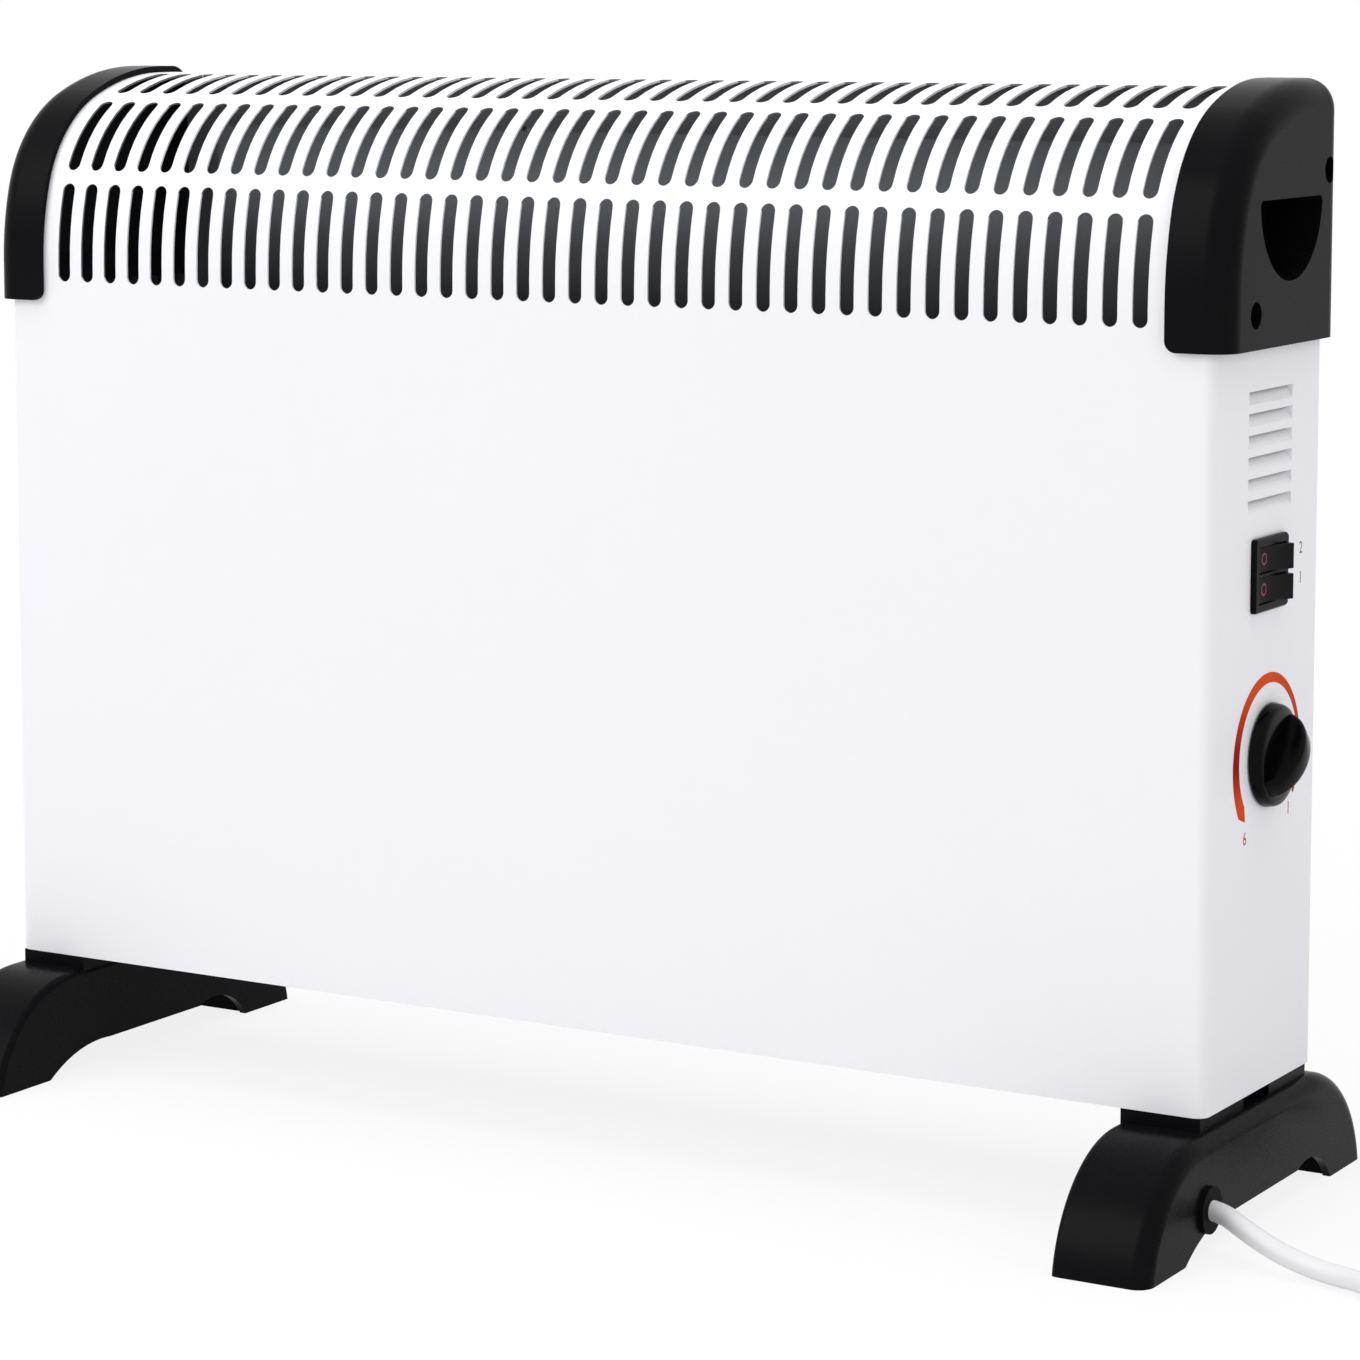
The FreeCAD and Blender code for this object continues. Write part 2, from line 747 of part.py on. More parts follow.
def thermostat_terminals():
    back = inside_end - stat_plate - stat_body_depth
    return group([blade(back, knob_y + y, knob_z) for y in stat_tab_y])


def thermostat_screws():
    sizes = (stat_screw_r, stat_screw_length, stat_screw_head_r, stat_screw_head)
    return group([pan_screw((half, y, knob_z), -X, *sizes) for y in stat_screw_places()])


def knob_front():
    return half + knob_off_panel + knob_disc


def thermostat_shaft():
    start = inside_end - stat_plate - stat_bearing_depth + gap
    return rod((start, knob_y, knob_z), X, shaft_r, knob_front() + shaft_socket - start - gap)


def thermostat_knob():
    low = half + knob_off_panel
    centre = V(low, knob_y, knob_z)
    disc = Part.makeCone(knob_r, knob_top_r, knob_disc, centre, X)
    recess = rod((low, knob_y, knob_z), X, knob_r - knob_skirt, knob_recess)
    boss = rod((low, knob_y, knob_z), X, knob_boss_r, knob_disc)
    # The grip is a half ellipse standing on a diameter of the disc
    base = V(knob_front() - knob_recess, knob_y - fin_thickness / 2, knob_z)
    rise = fin_rise + knob_recess
    fin = ellipse_face(base, Z, fin_half_length, X, rise).extrude(Y * fin_thickness)
    fin = fin.makeFillet(fin_round, [e for e in fin.Edges if e.BoundBox.YLength < gap])
    fin = fin.cut(box(base.x - 2 * rise, base.y - gap, knob_z - 2 * fin_half_length,
                      base.x, base.y + fin_thickness + gap, knob_z + 2 * fin_half_length))
    fin.rotate(centre, X, -fin_angle)
    bore = rod((low, knob_y, knob_z), X, shaft_r + running_clearance, knob_disc + shaft_socket)
    return fuse([disc.cut(recess), boss, fin]).cut(bore)


# Heating element: two coils through mica boards between two rails
def element_floor():
    return plate_top + element_height


def element_rails():
    rails = []
    z = element_floor()
    for s in (-1, 1):
        y0, y1 = sorted((s * rail_y, s * (rail_y - rail_width)))
        flat = box(-element_length / 2, y0, z, element_length / 2, y1, z + rail_sheet)
        y0, y1 = sorted((s * rail_y, s * (rail_y - rail_sheet)))
        rails.append(fuse([flat, box(-element_length / 2, y0, z, element_length / 2, y1, z + rail_height)]))
    return group(rails)


def coil_passes(height):
    z = element_floor() + rail_sheet + height
    return [V(0, -coil_pass_spacing / 2, z), V(0, coil_pass_spacing / 2, z)]


def mica_supports():
    boards = []
    z = element_floor() + rail_sheet
    wide = rail_y - rail_sheet
    step = (element_length - 2 * mica_end_margin) / (mica_count - 1)
    for i in range(mica_count):
        x = -element_length / 2 + mica_end_margin + i * step
        board = box(x - mica_thickness / 2, -wide, z, x + mica_thickness / 2, wide, z + mica_rise)
        holes = []
        for p in coil_passes(low_coil_height) + coil_passes(high_coil_height):
            start = (x - mica_thickness, p.y, p.z)
            holes.append(rod(start, X, coil_d / 2 + coil_clearance, 2 * mica_thickness))
        boards.append(board.cut(holes))
    return group(boards)


def heating_coil(height):
    # Two passes of the coiled wire with a half round turn at the left end
    a, b = coil_passes(height)
    right = element_length / 2 - coil_overhang
    left = -element_length / 2 + coil_overhang
    r = coil_pass_spacing / 2
    path = Part.Wire([line(a + X * right, a + X * left), arc(a + X * left, V(left - r, 0, a.z), b + X * left),
                      line(b + X * left, b + X * right)])
    profile = Part.Wire(Part.makeCircle(coil_d / 2, a + X * right, X))
    return path.makePipeShell([profile], True, False)


def right_element_bracket():
    x = element_length / 2
    z = element_floor()
    y = rear - bracket_side_room
    flange = box(x, -y, plate_top, x + bracket_foot, y, plate_top + rail_sheet)
    upright = box(x, -y, plate_top, x + rail_sheet, y, z)
    shelf = box(x - bracket_foot, -y, z - rail_sheet, x + rail_sheet, y, z)
    return fuse([flange, upright, shelf])


def thermal_cutout():
    # A round bimetal switch on the upright of the right bracket
    z = element_floor() - cutout_r - 2 * rail_sheet
    base = element_length / 2 + rail_sheet
    disc = rod((base, 0, z), X, cutout_r, cutout_height)
    tip = base + cutout_height + tab_length
    return fuse([disc, blade(tip, -cutout_r / 2, z), blade(tip, cutout_r / 2, z)])


def heat_shield(wall_y, foot_y, top):
    # An upright sheet that keeps the outer skin cool, standing on a folded foot
    x = half - shield_end_margin
    y0, y1 = sorted((wall_y, wall_y + math.copysign(shield_sheet, -wall_y)))
    f0, f1 = sorted((wall_y, foot_y))
    upright = box(-x, y0, plate_top, x, y1, top)
    return fuse([upright, box(-x, f0, plate_top, x, f1, plate_top + shield_sheet)])


def front_heat_shield():
    y = inside_front + shield_front_y
    return heat_shield(y, y - shield_foot, curve_start - shield_front_drop)


def rear_heat_shield():
    y = panel_front - shield_rear_y
    return heat_shield(y, y + shield_foot, body_top - shield_rear_drop)


# Cords and wires: straight runs joined by tangent arcs
def route(points):
    points = [V(*p) for p in points]
    edges = []
    radii = []
    at = points[0]
    for before, corner, after in zip(points, points[1:], points[2:]):
        come = corner - before
        go = after - corner
        half_turn = come.getAngle(go) / 2
        cut = bend_share * min(come.Length, go.Length)
        radius = cut / math.tan(half_turn)
        come.normalize()
        go.normalize()
        start = corner - come * cut
        end = corner + go * cut
        bisector = (go - come).normalize()
        middle = corner + bisector * (radius / math.cos(half_turn) - radius)
        edges.append(line(at, start))
        edges.append(arc(start, middle, end))
        radii.append(radius)
        at = end
    edges.append(line(at, points[-1]))
    return Part.Wire(edges), radii


def tube(points, d, name):
    path, radii = route(points)
    first = V(*points[0])
    profile = Part.Wire(Part.makeCircle(d / 2, first, V(*points[1]) - first))
    solid = path.makePipeShell([profile], True, False)
    share = solid.Volume / (math.pi * d * d / 4 * path.Length)
    print(name, "length %.1f least radius %.1f volume share %.4f" % (path.Length, min(radii), share))
    return solid


def block_corner():
    return V(bracket_end + block_off_bracket, block_y, plate_top)


def terminal_block():
    c = block_corner()
    bx, by, bz = block_size
    block = box(c.x, c.y, c.z, c.x + bx, c.y + by, c.z + bz)
    r = block_screw_r + running_clearance
    return block.cut([rod((x, y, c.z + bz / 2), Z, r, bz) for x, y in block_screw_places()])


def block_screw_places():
    c = block_corner()
    bx, by, bz = block_size
    return [(c.x + bx * (2 * i + 1) / 6, c.y + by * (2 * j + 1) / 4) for i in range(3) for j in range(2)]


def terminal_screws():
    z = block_corner().z + block_size[2]
    return group([rod((x, y, z - block_size[2] / 2), Z, block_screw_r, block_size[2] / 2 - block_screw_head)
                  for x, y in block_screw_places()])


def supply_cable():
    # From the bush up through the hollow foot and the bottom plate to the terminal block
    start = V(foot_outer + bush_flange - bush_length, bush_y, bush_z)
    hx, hy = cable_hole_at
    x = half - hx
    z = plate_top + block_size[2] / 2
    points = [tuple(start), (start.x - cable_lead, start.y, start.z)]
    points += [(x, start.y + ahead, start.z + up) for ahead, up in cable_rise]
    points += [(x, hy - cable_slack, body_bottom - cable_run), (x, hy + cable_slack, plate_top + cable_slack),
               (x, hy + cable_run, z), (x, block_y, z)]
    return tube(points, cord_d, "supply_cable")


def wire(name, a, a_way, b, b_way):
    # Leaves each end straight and crosses between them in a slack bow
    p = a + a_way * wire_lead
    q = b + b_way * wire_lead
    along = (q - p).normalize() * wire_bend
    points = [a, p, p + a_way * wire_bow + along, q + b_way * wire_bow - along, q, b]
    return tube([tuple(v) for v in points], wire_d, name)


def internal_wires():
    c = block_corner()
    block_end = V(c.x, c.y + block_size[1] / 4, c.z + block_size[2] / 2)
    switch_back = half - switch_body_depth - tab_length
    stat_back = inside_end - stat_plate - stat_body_depth - tab_length
    stat_ends = [V(stat_back, knob_y + y, knob_z) for y in stat_tab_y]
    upper, lower = rocker_places()
    feed = V(switch_back, switch_y + switch_tab_y[0], lower)
    right = element_length / 2 - coil_overhang
    coil_ends = [coil_passes(h)[1] + X * right for h in (low_coil_height, high_coil_height)]
    taps = [V(switch_back, switch_y + switch_tab_y[2], z) for z in (upper, lower)]
    wires = [wire("live_wire", block_end, -X, stat_ends[1], -X)]
    wires.append(wire("link_wire", stat_ends[0], -X, feed, -X))
    wires += [wire("element_wire", tap, -X, end, X) for tap, end in zip(taps, coil_ends)]
    return group(wires)


def earth_screw_x():
    return bracket_end + earth_screw_off_bracket + earth_screw_head_r


def earth_screw():
    start = (earth_screw_x(), earth_screw_y, plate_top)
    return pan_screw(start, -Z, earth_screw_r, 2 * earth_screw_head, earth_screw_head_r, earth_screw_head)


def cord_bush():
    # A flanged bush with a tapered sleeve inside the foot
    face = foot_outer + bush_flange
    start = V(face - bush_length, bush_y, bush_z)
    sleeve = Part.makeCone(bush_tip_r, bush_r, bush_length - bush_flange - foot_wall, start, X)
    neck = rod((foot_outer - foot_wall, bush_y, bush_z), X, bush_r, foot_wall)
    return fuse([sleeve, neck, rod((foot_outer, bush_y, bush_z), X, bush_flange_r, bush_flange)])


def cable_way():
    # Holes in the right foot for the bush and for the cable up to the bottom plate
    hx, hy = cable_hole_at
    low = foot_ceiling - foot_wall
    return [rod((foot_outer - 2 * foot_wall, bush_y, bush_z), X, bush_r + gap, 3 * foot_wall),
            rod((half - hx, hy, low), Z, cable_hole_r, body_bottom - low)]


def coil_frame():
    # Centre of the coil, heading of the cord where it joins, and the turn's plane
    along = V(math.cos(math.radians(coil_heading)), math.sin(math.radians(coil_heading)), 0)
    side = Z.cross(along)
    outer_r = coil_mean_r + coil_half_turns * coil_step / 4
    start = V(coil_start[0], coil_start[1], coil_z)
    return start, along, side, outer_r


def biarc(p0, t0, p1, t1):
    # Two tangent arcs from one point and heading to another
    v = p1 - p0
    d = v.Length / 2
    q0 = p0 + t0 * d
    q1 = p1 - t1 * d
    joint = (q0 + q1) * 0.5
    edges = []
    for a, q, b in ((p0, q0, joint), (joint, q1, p1)):
        turn = (q - a).getAngle(b - q)
        radius = d / math.tan(turn / 2)
        inward = ((a + b) * 0.5 - q).normalize()
        edges.append(arc(a, q + inward * (radius / math.cos(turn / 2) - radius), b))
    return edges


def coil_path():
    # Spirals in on the floor layer, climbs in the half turn where it reverses, spirals out on top
    start, along, side, outer_r = coil_frame()
    inner_r = outer_r - coil_half_turns * coil_step / 2
    radii = [outer_r - i * coil_step / 2 for i in range(coil_half_turns + 1)]
    radii += [inner_r + i * coil_step / 2 for i in range(coil_half_turns + 1)]
    centre = start + side * outer_r
    points = []
    for i, r in enumerate(radii):
        away = side * (-r if i % 2 == 0 else r)
        points.append(centre + away + (Z * coil_layer if i > coil_half_turns else Z * 0))
    edges = [line(start - along * cord_d, start)]
    for i in range(len(points) - 1):
        heading = along if i % 2 == 0 else -along
        edges += biarc(points[i], heading, points[i + 1], -heading)
    end = points[-1]
    leaving = along if len(points) % 2 == 1 else -along
    edges.append(line(end, end + leaving * cord_d))
    return Part.Wire(edges), centre, end + leaving * cord_d, leaving


def least_self_gap(path):
    spacing = cord_r
    points = path.discretize(Number=int(path.Length / spacing))
    skip = int(4 * cord_d / spacing)
    count = len(points)
    return min((points[i] - points[j]).Length for i in range(count) for j in range(i + skip, count)) - cord_d


def power_cord_coil():
    path, centre, end, leaving = coil_path()
    start, along, side, outer_r = coil_frame()
    profile = Part.Wire(Part.makeCircle(cord_r, start - along * cord_d, along))
    solid = path.makePipeShell([profile], True, False)
    share = solid.Volume / (math.pi * cord_r ** 2 * path.Length)
    told = (path.Length, least_self_gap(path), share)
    print("power_cord_coil length %.1f self gap %.2f volume share %.4f" % told)
    return solid


def power_cord():
    start, along, side, outer_r = coil_frame()
    join = start - along * cord_d
    return tube(list(cord_points) + [tuple(join)], cord_d, "power_cord")


def coil_tie():
    # A band round all the turns, on the side of the coil away from the joining cord
    path, centre, end, leaving = coil_path()
    start, along, side, outer_r = coil_frame()
    span = coil_half_turns * coil_step / 2
    low = cord_r + tie_clearance
    wide = span / 2 + low
    inner = box(coil_mean_r - wide, -tie_width / 2, coil_z - low,
                coil_mean_r + wide, tie_width / 2, coil_z + coil_layer + low)
    t = tie_thickness
    outer = box(coil_mean_r - wide - t, -tie_width / 2, coil_z - low - t,
                coil_mean_r + wide + t, tie_width / 2, coil_z + coil_layer + low + t)
    outer = outer.makeFillet(cord_r, [e for e in outer.Edges if e.BoundBox.YLength > tie_width - gap])
    inner = inner.makeFillet(cord_r - t, [e for e in inner.Edges if e.BoundBox.YLength > tie_width - gap])
    tie = outer.cut(inner)
    tie.rotate(V(0, 0, 0), Z, coil_heading + tie_turn - 90.0)
    tie.translate(V(centre.x, centre.y, 0))
    return tie


def tail_route():
    path, centre, end, leaving = coil_path()
    across = Z.cross(leaving)
    climb = plug_r - end.z
    points = [end]
    for (ahead, aside), share in zip(tail_points, tail_climb_shares):
        points.append(end + leaving * ahead + across * aside + Z * (climb * share))
    return points


def power_cord_tail():
    return tube([tuple(p) for p in tail_route()], cord_d, "power_cord_tail")


def placed_plug(shape):
    # Plug pieces are made along +X from the cord's end and laid where the tail ends
    last, end = tail_route()[-2:]
    heading = math.degrees(math.atan2(end.y - last.y, end.x - last.x))
    shape = shape.copy()
    shape.rotate(V(0, 0, 0), Z, heading)
    shape.translate(end)
    return shape


def plug_face():
    return plug_neck_length + plug_body_length


def plug_body():
    neck = Part.makeCone(plug_entry_r, plug_neck_r, plug_neck_length, V(0, 0, 0), X)
    shoulder = Part.makeCone(plug_shoulder_r, plug_r, plug_shoulder_length, V(plug_neck_length, 0, 0), X)
    barrel_x = plug_neck_length + plug_shoulder_length
    barrel = rod((barrel_x, 0, 0), X, plug_r, plug_face() - barrel_x)
    solid = fuse([neck, shoulder, barrel])
    cuts = []
    for s in (-1, 1):
        cuts.append(rod((plug_face() - pin_sunk, s * pin_spacing / 2, 0), X, pin_r, pin_sunk))
        z0, z1 = sorted((s * plug_r, s * (plug_r - earth_thickness)))
        cuts.append(box(plug_face() - earth_length, -earth_width / 2, z0 - earth_thickness,
                        plug_face(), earth_width / 2, z1))
    return placed_plug(solid.cut(cuts))


def plug_pins():
    pins = []
    for s in (-1, 1):
        pin = rod((plug_face() - pin_sunk, s * pin_spacing / 2, 0), X, pin_r, pin_sunk + pin_length)
        tip = [e for e in pin.Edges if e.BoundBox.XMin > plug_face() + pin_r]
        pins.append(pin.makeFillet(pin_round, tip))
    return placed_plug(group(pins))


def plug_earth_contacts():
    strips = []
    for s in (-1, 1):
        z0, z1 = sorted((s * plug_r, s * (plug_r - earth_thickness)))
        strips.append(box(plug_face() - earth_length, -earth_width / 2, z0, plug_face(), earth_width / 2, z1))
    return placed_plug(group(strips))


nodes = {
    "front_shell": front_shell(),
    "back_panel": back_panel(),
    "back_panel_screws": back_panel_screws(),
    "bottom_plate": bottom_plate(),
    "right_end_cap": right_end_cap(),
    "left_end_cap": mirrored(right_end_cap()),
    "right_end_bracket": right_end_bracket(),
    "left_end_bracket": mirrored(right_end_bracket()),
    "end_cap_screws": group(right_cap_screws() + [mirrored(s) for s in right_cap_screws()]),
    "right_foot": right_foot().cut(cable_way()),
    "left_foot": mirrored(right_foot()),
    "foot_screws": foot_screws(),
    "switch_frame": switch_frame(),
    "upper_rocker": rocker(rocker_places()[0]),
    "lower_rocker": rocker(rocker_places()[1]),
    "switch_terminals": switch_terminals(),
    "thermostat_body": thermostat_body(),
    "thermostat_terminals": thermostat_terminals(),
    "thermostat_screws": thermostat_screws(),
    "thermostat_shaft": thermostat_shaft(),
    "thermostat_knob": thermostat_knob(),
    "element_rails": element_rails(),
    "mica_supports": mica_supports(),
    "low_heating_coil": heating_coil(low_coil_height),
    "high_heating_coil": heating_coil(high_coil_height),
    "right_element_bracket": right_element_bracket(),
    "left_element_bracket": mirrored(right_element_bracket()),
    "thermal_cutout": thermal_cutout(),
    "front_heat_shield": front_heat_shield(),
    "rear_heat_shield": rear_heat_shield(),
    "terminal_block": terminal_block(),
    "terminal_screws": terminal_screws(),
    "supply_cable": supply_cable(),
    "internal_wires": internal_wires(),
    "earth_screw": earth_screw(),
    "cord_bush": cord_bush(),
    "power_cord": power_cord(),
    "power_cord_coil": power_cord_coil(),
    "coil_tie": coil_tie(),
    "power_cord_tail": power_cord_tail(),
    "plug_body": plug_body(),
    "plug_pins": plug_pins(),
    "plug_earth_contacts": plug_earth_contacts(),
}
os.makedirs("parts", exist_ok=True)
for name, shape in nodes.items():
    print(name, len(shape.Solids), shape.isValid(), "%.1f" % shape.Volume)
    shape.exportStep("parts/" + name + ".step")
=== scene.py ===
import math

import bmesh
import bpy
from mathutils import Euler, Matrix, Vector


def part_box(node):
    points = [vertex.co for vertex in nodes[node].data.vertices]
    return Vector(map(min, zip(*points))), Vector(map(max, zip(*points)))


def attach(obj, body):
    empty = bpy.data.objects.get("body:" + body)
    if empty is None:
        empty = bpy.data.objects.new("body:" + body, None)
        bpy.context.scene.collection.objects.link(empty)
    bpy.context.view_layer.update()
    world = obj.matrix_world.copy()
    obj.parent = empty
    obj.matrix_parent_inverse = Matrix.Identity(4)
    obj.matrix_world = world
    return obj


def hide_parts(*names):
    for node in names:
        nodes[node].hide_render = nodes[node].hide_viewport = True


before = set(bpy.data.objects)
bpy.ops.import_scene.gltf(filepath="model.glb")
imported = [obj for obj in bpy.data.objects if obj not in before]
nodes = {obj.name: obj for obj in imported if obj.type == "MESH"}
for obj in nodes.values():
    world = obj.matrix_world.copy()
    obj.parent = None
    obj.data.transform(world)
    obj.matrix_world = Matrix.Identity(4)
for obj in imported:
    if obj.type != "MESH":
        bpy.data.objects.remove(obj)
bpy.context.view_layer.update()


# Camera: a long lens a little above the heater and to the right of its front,
# as in the photograph, with the object filling the square frame.
photo_lens = bpy.data.cameras.new("photo_lens")
photo_lens.sensor_width = 36.0
photo_lens.lens = 112.02
photo_lens.shift_y = -0.15
photo_lens.clip_end = 50.0
camera = bpy.data.objects.new("camera", photo_lens)
camera.location = (0.7962, -1.3100, 0.4136)
camera.rotation_euler = Euler((math.radians(83.52), 0.0, math.radians(30.59)))
bpy.context.scene.collection.objects.link(camera)
bpy.context.scene.camera = camera
bpy.context.scene.view_settings.view_transform = "Standard"


# Studio: a white seamless floor and white surroundings, one large soft lamp from the
# upper left front, a weaker one from the right and a broad overhead fill.
def linear(code):
    # An sRGB colour code as linear red, green, blue and alpha
    parts = [int(code[i:i + 2], 16) / 255 for i in (1, 3, 5)]
    return tuple(c / 12.92 if c <= 0.04045 else ((c + 0.055) / 1.055) ** 2.4 for c in parts) + (1.0,)


def add(tree, kind, inputs=None, **settings):
    # One node, its settings and its inputs; an input that is a socket gets linked
    node = tree.nodes.new(kind)
    for name, value in settings.items():
        setattr(node, name, value)
    for name, value in (inputs or {}).items():
        if isinstance(value, bpy.types.NodeSocket):
            tree.links.new(value, node.inputs[name])
        else:
            node.inputs[name].default_value = value
    return node


def new_material(name):
    material = bpy.data.materials.new(name)
    material.use_nodes = True
    material.node_tree.nodes.clear()
    return material, material.node_tree


def seen_directly(tree):
    # 1 for what the camera sees itself, in a reflection or through glass
    path = add(tree, "ShaderNodeLightPath")
    seen = add(tree, "ShaderNodeMath", {0: path.outputs["Is Camera Ray"], 1: path.outputs["Is Glossy Ray"]},
               operation="MAXIMUM")
    seen = add(tree, "ShaderNodeMath", {0: seen.outputs[0], 1: path.outputs["Is Transmission Ray"]},
               operation="MAXIMUM")
    return seen.outputs[0]


def link_object(name, data):
    made = bpy.data.objects.new(name, data)
    bpy.context.scene.collection.objects.link(made)
    return made


# White paper: matt, lit near the heater so that it keeps the shadow, plain white further off
shadow_reach, white_reach, white_share_near = 0.3, 0.9, 0.85
paper, tree = new_material("seamless_white_paper")
place = add(tree, "ShaderNodeTexCoord")
off = add(tree, "ShaderNodeVectorMath", {0: place.outputs["Object"]}, operation="LENGTH")
fade = add(tree, "ShaderNodeMapRange", {"Value": off.outputs["Value"], "From Min": shadow_reach,
                                        "From Max": white_reach, "To Min": white_share_near, "To Max": 1.0})
share = add(tree, "ShaderNodeMath", {0: seen_directly(tree), 1: fade.outputs[0]}, operation="MULTIPLY")
lit = add(tree, "ShaderNodeBsdfDiffuse", {"Color": linear("#f2f2f2")})
bright = add(tree, "ShaderNodeEmission", {"Color": linear("#ffffff"), "Strength": 1.0})
mixed = add(tree, "ShaderNodeMixShader", {0: share.outputs[0], 1: lit.outputs[0], 2: bright.outputs[0]})
add(tree, "ShaderNodeOutputMaterial", {"Surface": mixed.outputs[0]})
floor_half = 6.0
sheet = bpy.data.meshes.new("floor")
corners = [(-1, -1), (1, -1), (1, 1), (-1, 1)]
sheet.from_pydata([(x * floor_half, y * floor_half, 0.0) for x, y in corners], [], [(0, 1, 2, 3)])
sheet.materials.append(paper)
link_object("floor", sheet)

lamps = (("key_lamp", (-1.3, -2.1, 1.9), 1.8, 36.0), ("side_lamp", (2.4, -0.6, 1.3), 1.6, 12.0),
         ("top_lamp", (0.0, 0.2, 2.6), 2.6, 40.0))
for name, place, size, power in lamps:
    lamp = bpy.data.lights.new(name, "AREA")
    lamp.shape = "SQUARE"
    lamp.size = size
    lamp.energy = power
    holder = link_object(name, lamp)
    holder.location = place
    aim = Vector((0.0, 0.0, 0.2)) - Vector(place)
    holder.rotation_euler = aim.to_track_quat("-Z", "Y").to_euler()
    holder.visible_glossy = name == "key_lamp"

world = bpy.data.worlds.new("white_surroundings")
world.use_nodes = True
world.node_tree.nodes.clear()
tree = world.node_tree
dim = add(tree, "ShaderNodeBackground", {"Color": linear("#ffffff"), "Strength": 0.43})
white = add(tree, "ShaderNodeBackground", {"Color": linear("#ffffff"), "Strength": 1.0})
mixed = add(tree, "ShaderNodeMixShader", {0: seen_directly(tree), 1: dim.outputs[0], 2: white.outputs[0]})
add(tree, "ShaderNodeOutputWorld", {"Surface": mixed.outputs[0]})
bpy.context.scene.world = world


# Mains lead: a white round flexible cord. It leaves the bush in the right foot, drops to the
# floor and lies there, the rest of its length wound into a flat two-layer coil with a tie.
cord_diameter = 0.007
cord_exit = Vector((0.255, -0.049, 0.015))
lie = [cord_exit, (0.260, -0.0502, 0.0147), (0.2685, -0.0548, 0.0122), (0.2805, -0.0588, 0.0082),
       (0.293, -0.0607, 0.0052), (0.304, -0.0629, 0.0042), (0.31342, -0.0658, 0.0047)]
heading = math.radians(-30.0)
along = Vector((math.cos(heading), math.sin(heading), 0.0))
side = Vector((-along.y, along.x, 0.0))
coil_join = Vector((0.342, -0.082, 0.0048))
half_turns, turn_step, layer, mean_r = 5, 0.0089, 0.0078, 0.0385
outer_r = mean_r + half_turns * turn_step / 4
centre = coil_join + side * outer_r
line = [Vector(p) for p in lie] + [coil_join - along * cord_diameter]
per_half_turn = 12
swell = 1 / math.cos(math.pi / per_half_turn / 2)
for i in range((2 * half_turns + 1) * per_half_turn + 1):
    t = i / per_half_turn
    away = min(t, half_turns) - max(0.0, t - half_turns - 1)
    r = (outer_r - away * turn_step / 2) * swell
    climb = min(1.0, max(0.0, t - half_turns))
    lift = Vector((0.0, 0.0, layer * (0.5 - 0.5 * math.cos(math.pi * climb))))
    line.append(centre - side * (r * math.cos(math.pi * t)) + along * (r * math.sin(math.pi * t)) + lift)
leaving = -along
across = Vector((-leaving.y, leaving.x, 0.0))
tail_start = centre + side * outer_r + Vector((0.0, 0.0, layer)) + leaving * cord_diameter
plug_axis_z = 0.019
tail_climb = plug_axis_z - tail_start.z
line.append(tail_start)
for ahead, aside, share in ((0.012, 0.0, 0.0), (0.025, -0.0004, 0.25), (0.038, -0.0013, 0.72),
                            (0.050, -0.0024, 1.0), (0.060, -0.00345, 1.0)):
    line.append(tail_start + leaving * ahead + across * aside + Vector((0.0, 0.0, tail_climb * share)))


def blend(tree, share, colour, second):
    # One colour that runs into another
    mix = add(tree, "ShaderNodeMix", {0: share, 6: linear(colour), 7: linear(second)}, data_type="RGBA")
    return mix.outputs[2]


def surface(tree, inputs):
    # A material's one shader, led to its output
    shader = add(tree, "ShaderNodeBsdfPrincipled", inputs)
    add(tree, "ShaderNodeOutputMaterial", {"Surface": shader.outputs[0]})


def finish(name, colour, second, roughness, grain_mm, depth_mm, drift_mm, metallic=0.0, ior=1.5):
    # A surface whose colour drifts softly towards a second one, with a fine grain in relief
    material, tree = new_material(name)
    place = add(tree, "ShaderNodeTexCoord").outputs["Object"]
    drift = add(tree, "ShaderNodeTexNoise", {"Vector": place, "Scale": 1000.0 / drift_mm, "Detail": 3.0})
    shade = blend(tree, drift.outputs["Fac"], colour, second)
    grain = add(tree, "ShaderNodeTexNoise", {"Vector": place, "Scale": 1000.0 / grain_mm, "Detail": 2.0})
    bump = add(tree, "ShaderNodeBump", {"Height": grain.outputs["Fac"], "Distance": depth_mm / 1000.0})
    spread = 0.06
    rough = add(tree, "ShaderNodeMapRange", {"Value": grain.outputs["Fac"], "To Min": roughness - spread,
                                             "To Max": roughness + spread})
    surface(tree, {"Base Color": shade, "Roughness": rough.outputs[0], "Metallic": metallic, "IOR": ior,
                   "Normal": bump.outputs[0]})
    return material


def dress(material, *names):
    # Gives the named CAD pieces a finish
    for name in names:
        nodes[name].data.materials.clear()
        nodes[name].data.materials.append(material)


# White flexible PVC: extruded, so smooth with a faint orange peel
white_pvc = finish("white_extruded_pvc", "#ececee", "#e4e4e8", 0.42, 0.9, 0.02, 14.0)
curve = bpy.data.curves.new("mains_cord", "CURVE")
curve.dimensions = "3D"
curve.bevel_depth = cord_diameter / 2
curve.bevel_resolution = 4
curve.use_fill_caps = True
spline = curve.splines.new("NURBS")
spline.points.add(len(line) - 1)
for point, place in zip(spline.points, line):
    point.co = (*place, 1.0)
spline.order_u = 3
spline.use_endpoint_u = True
spline.resolution_u = 4
curve.materials.append(white_pvc)
mains_cord = link_object("mains_cord", curve)
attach(mains_cord, "heater")
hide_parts("power_cord", "power_cord_coil", "power_cord_tail")


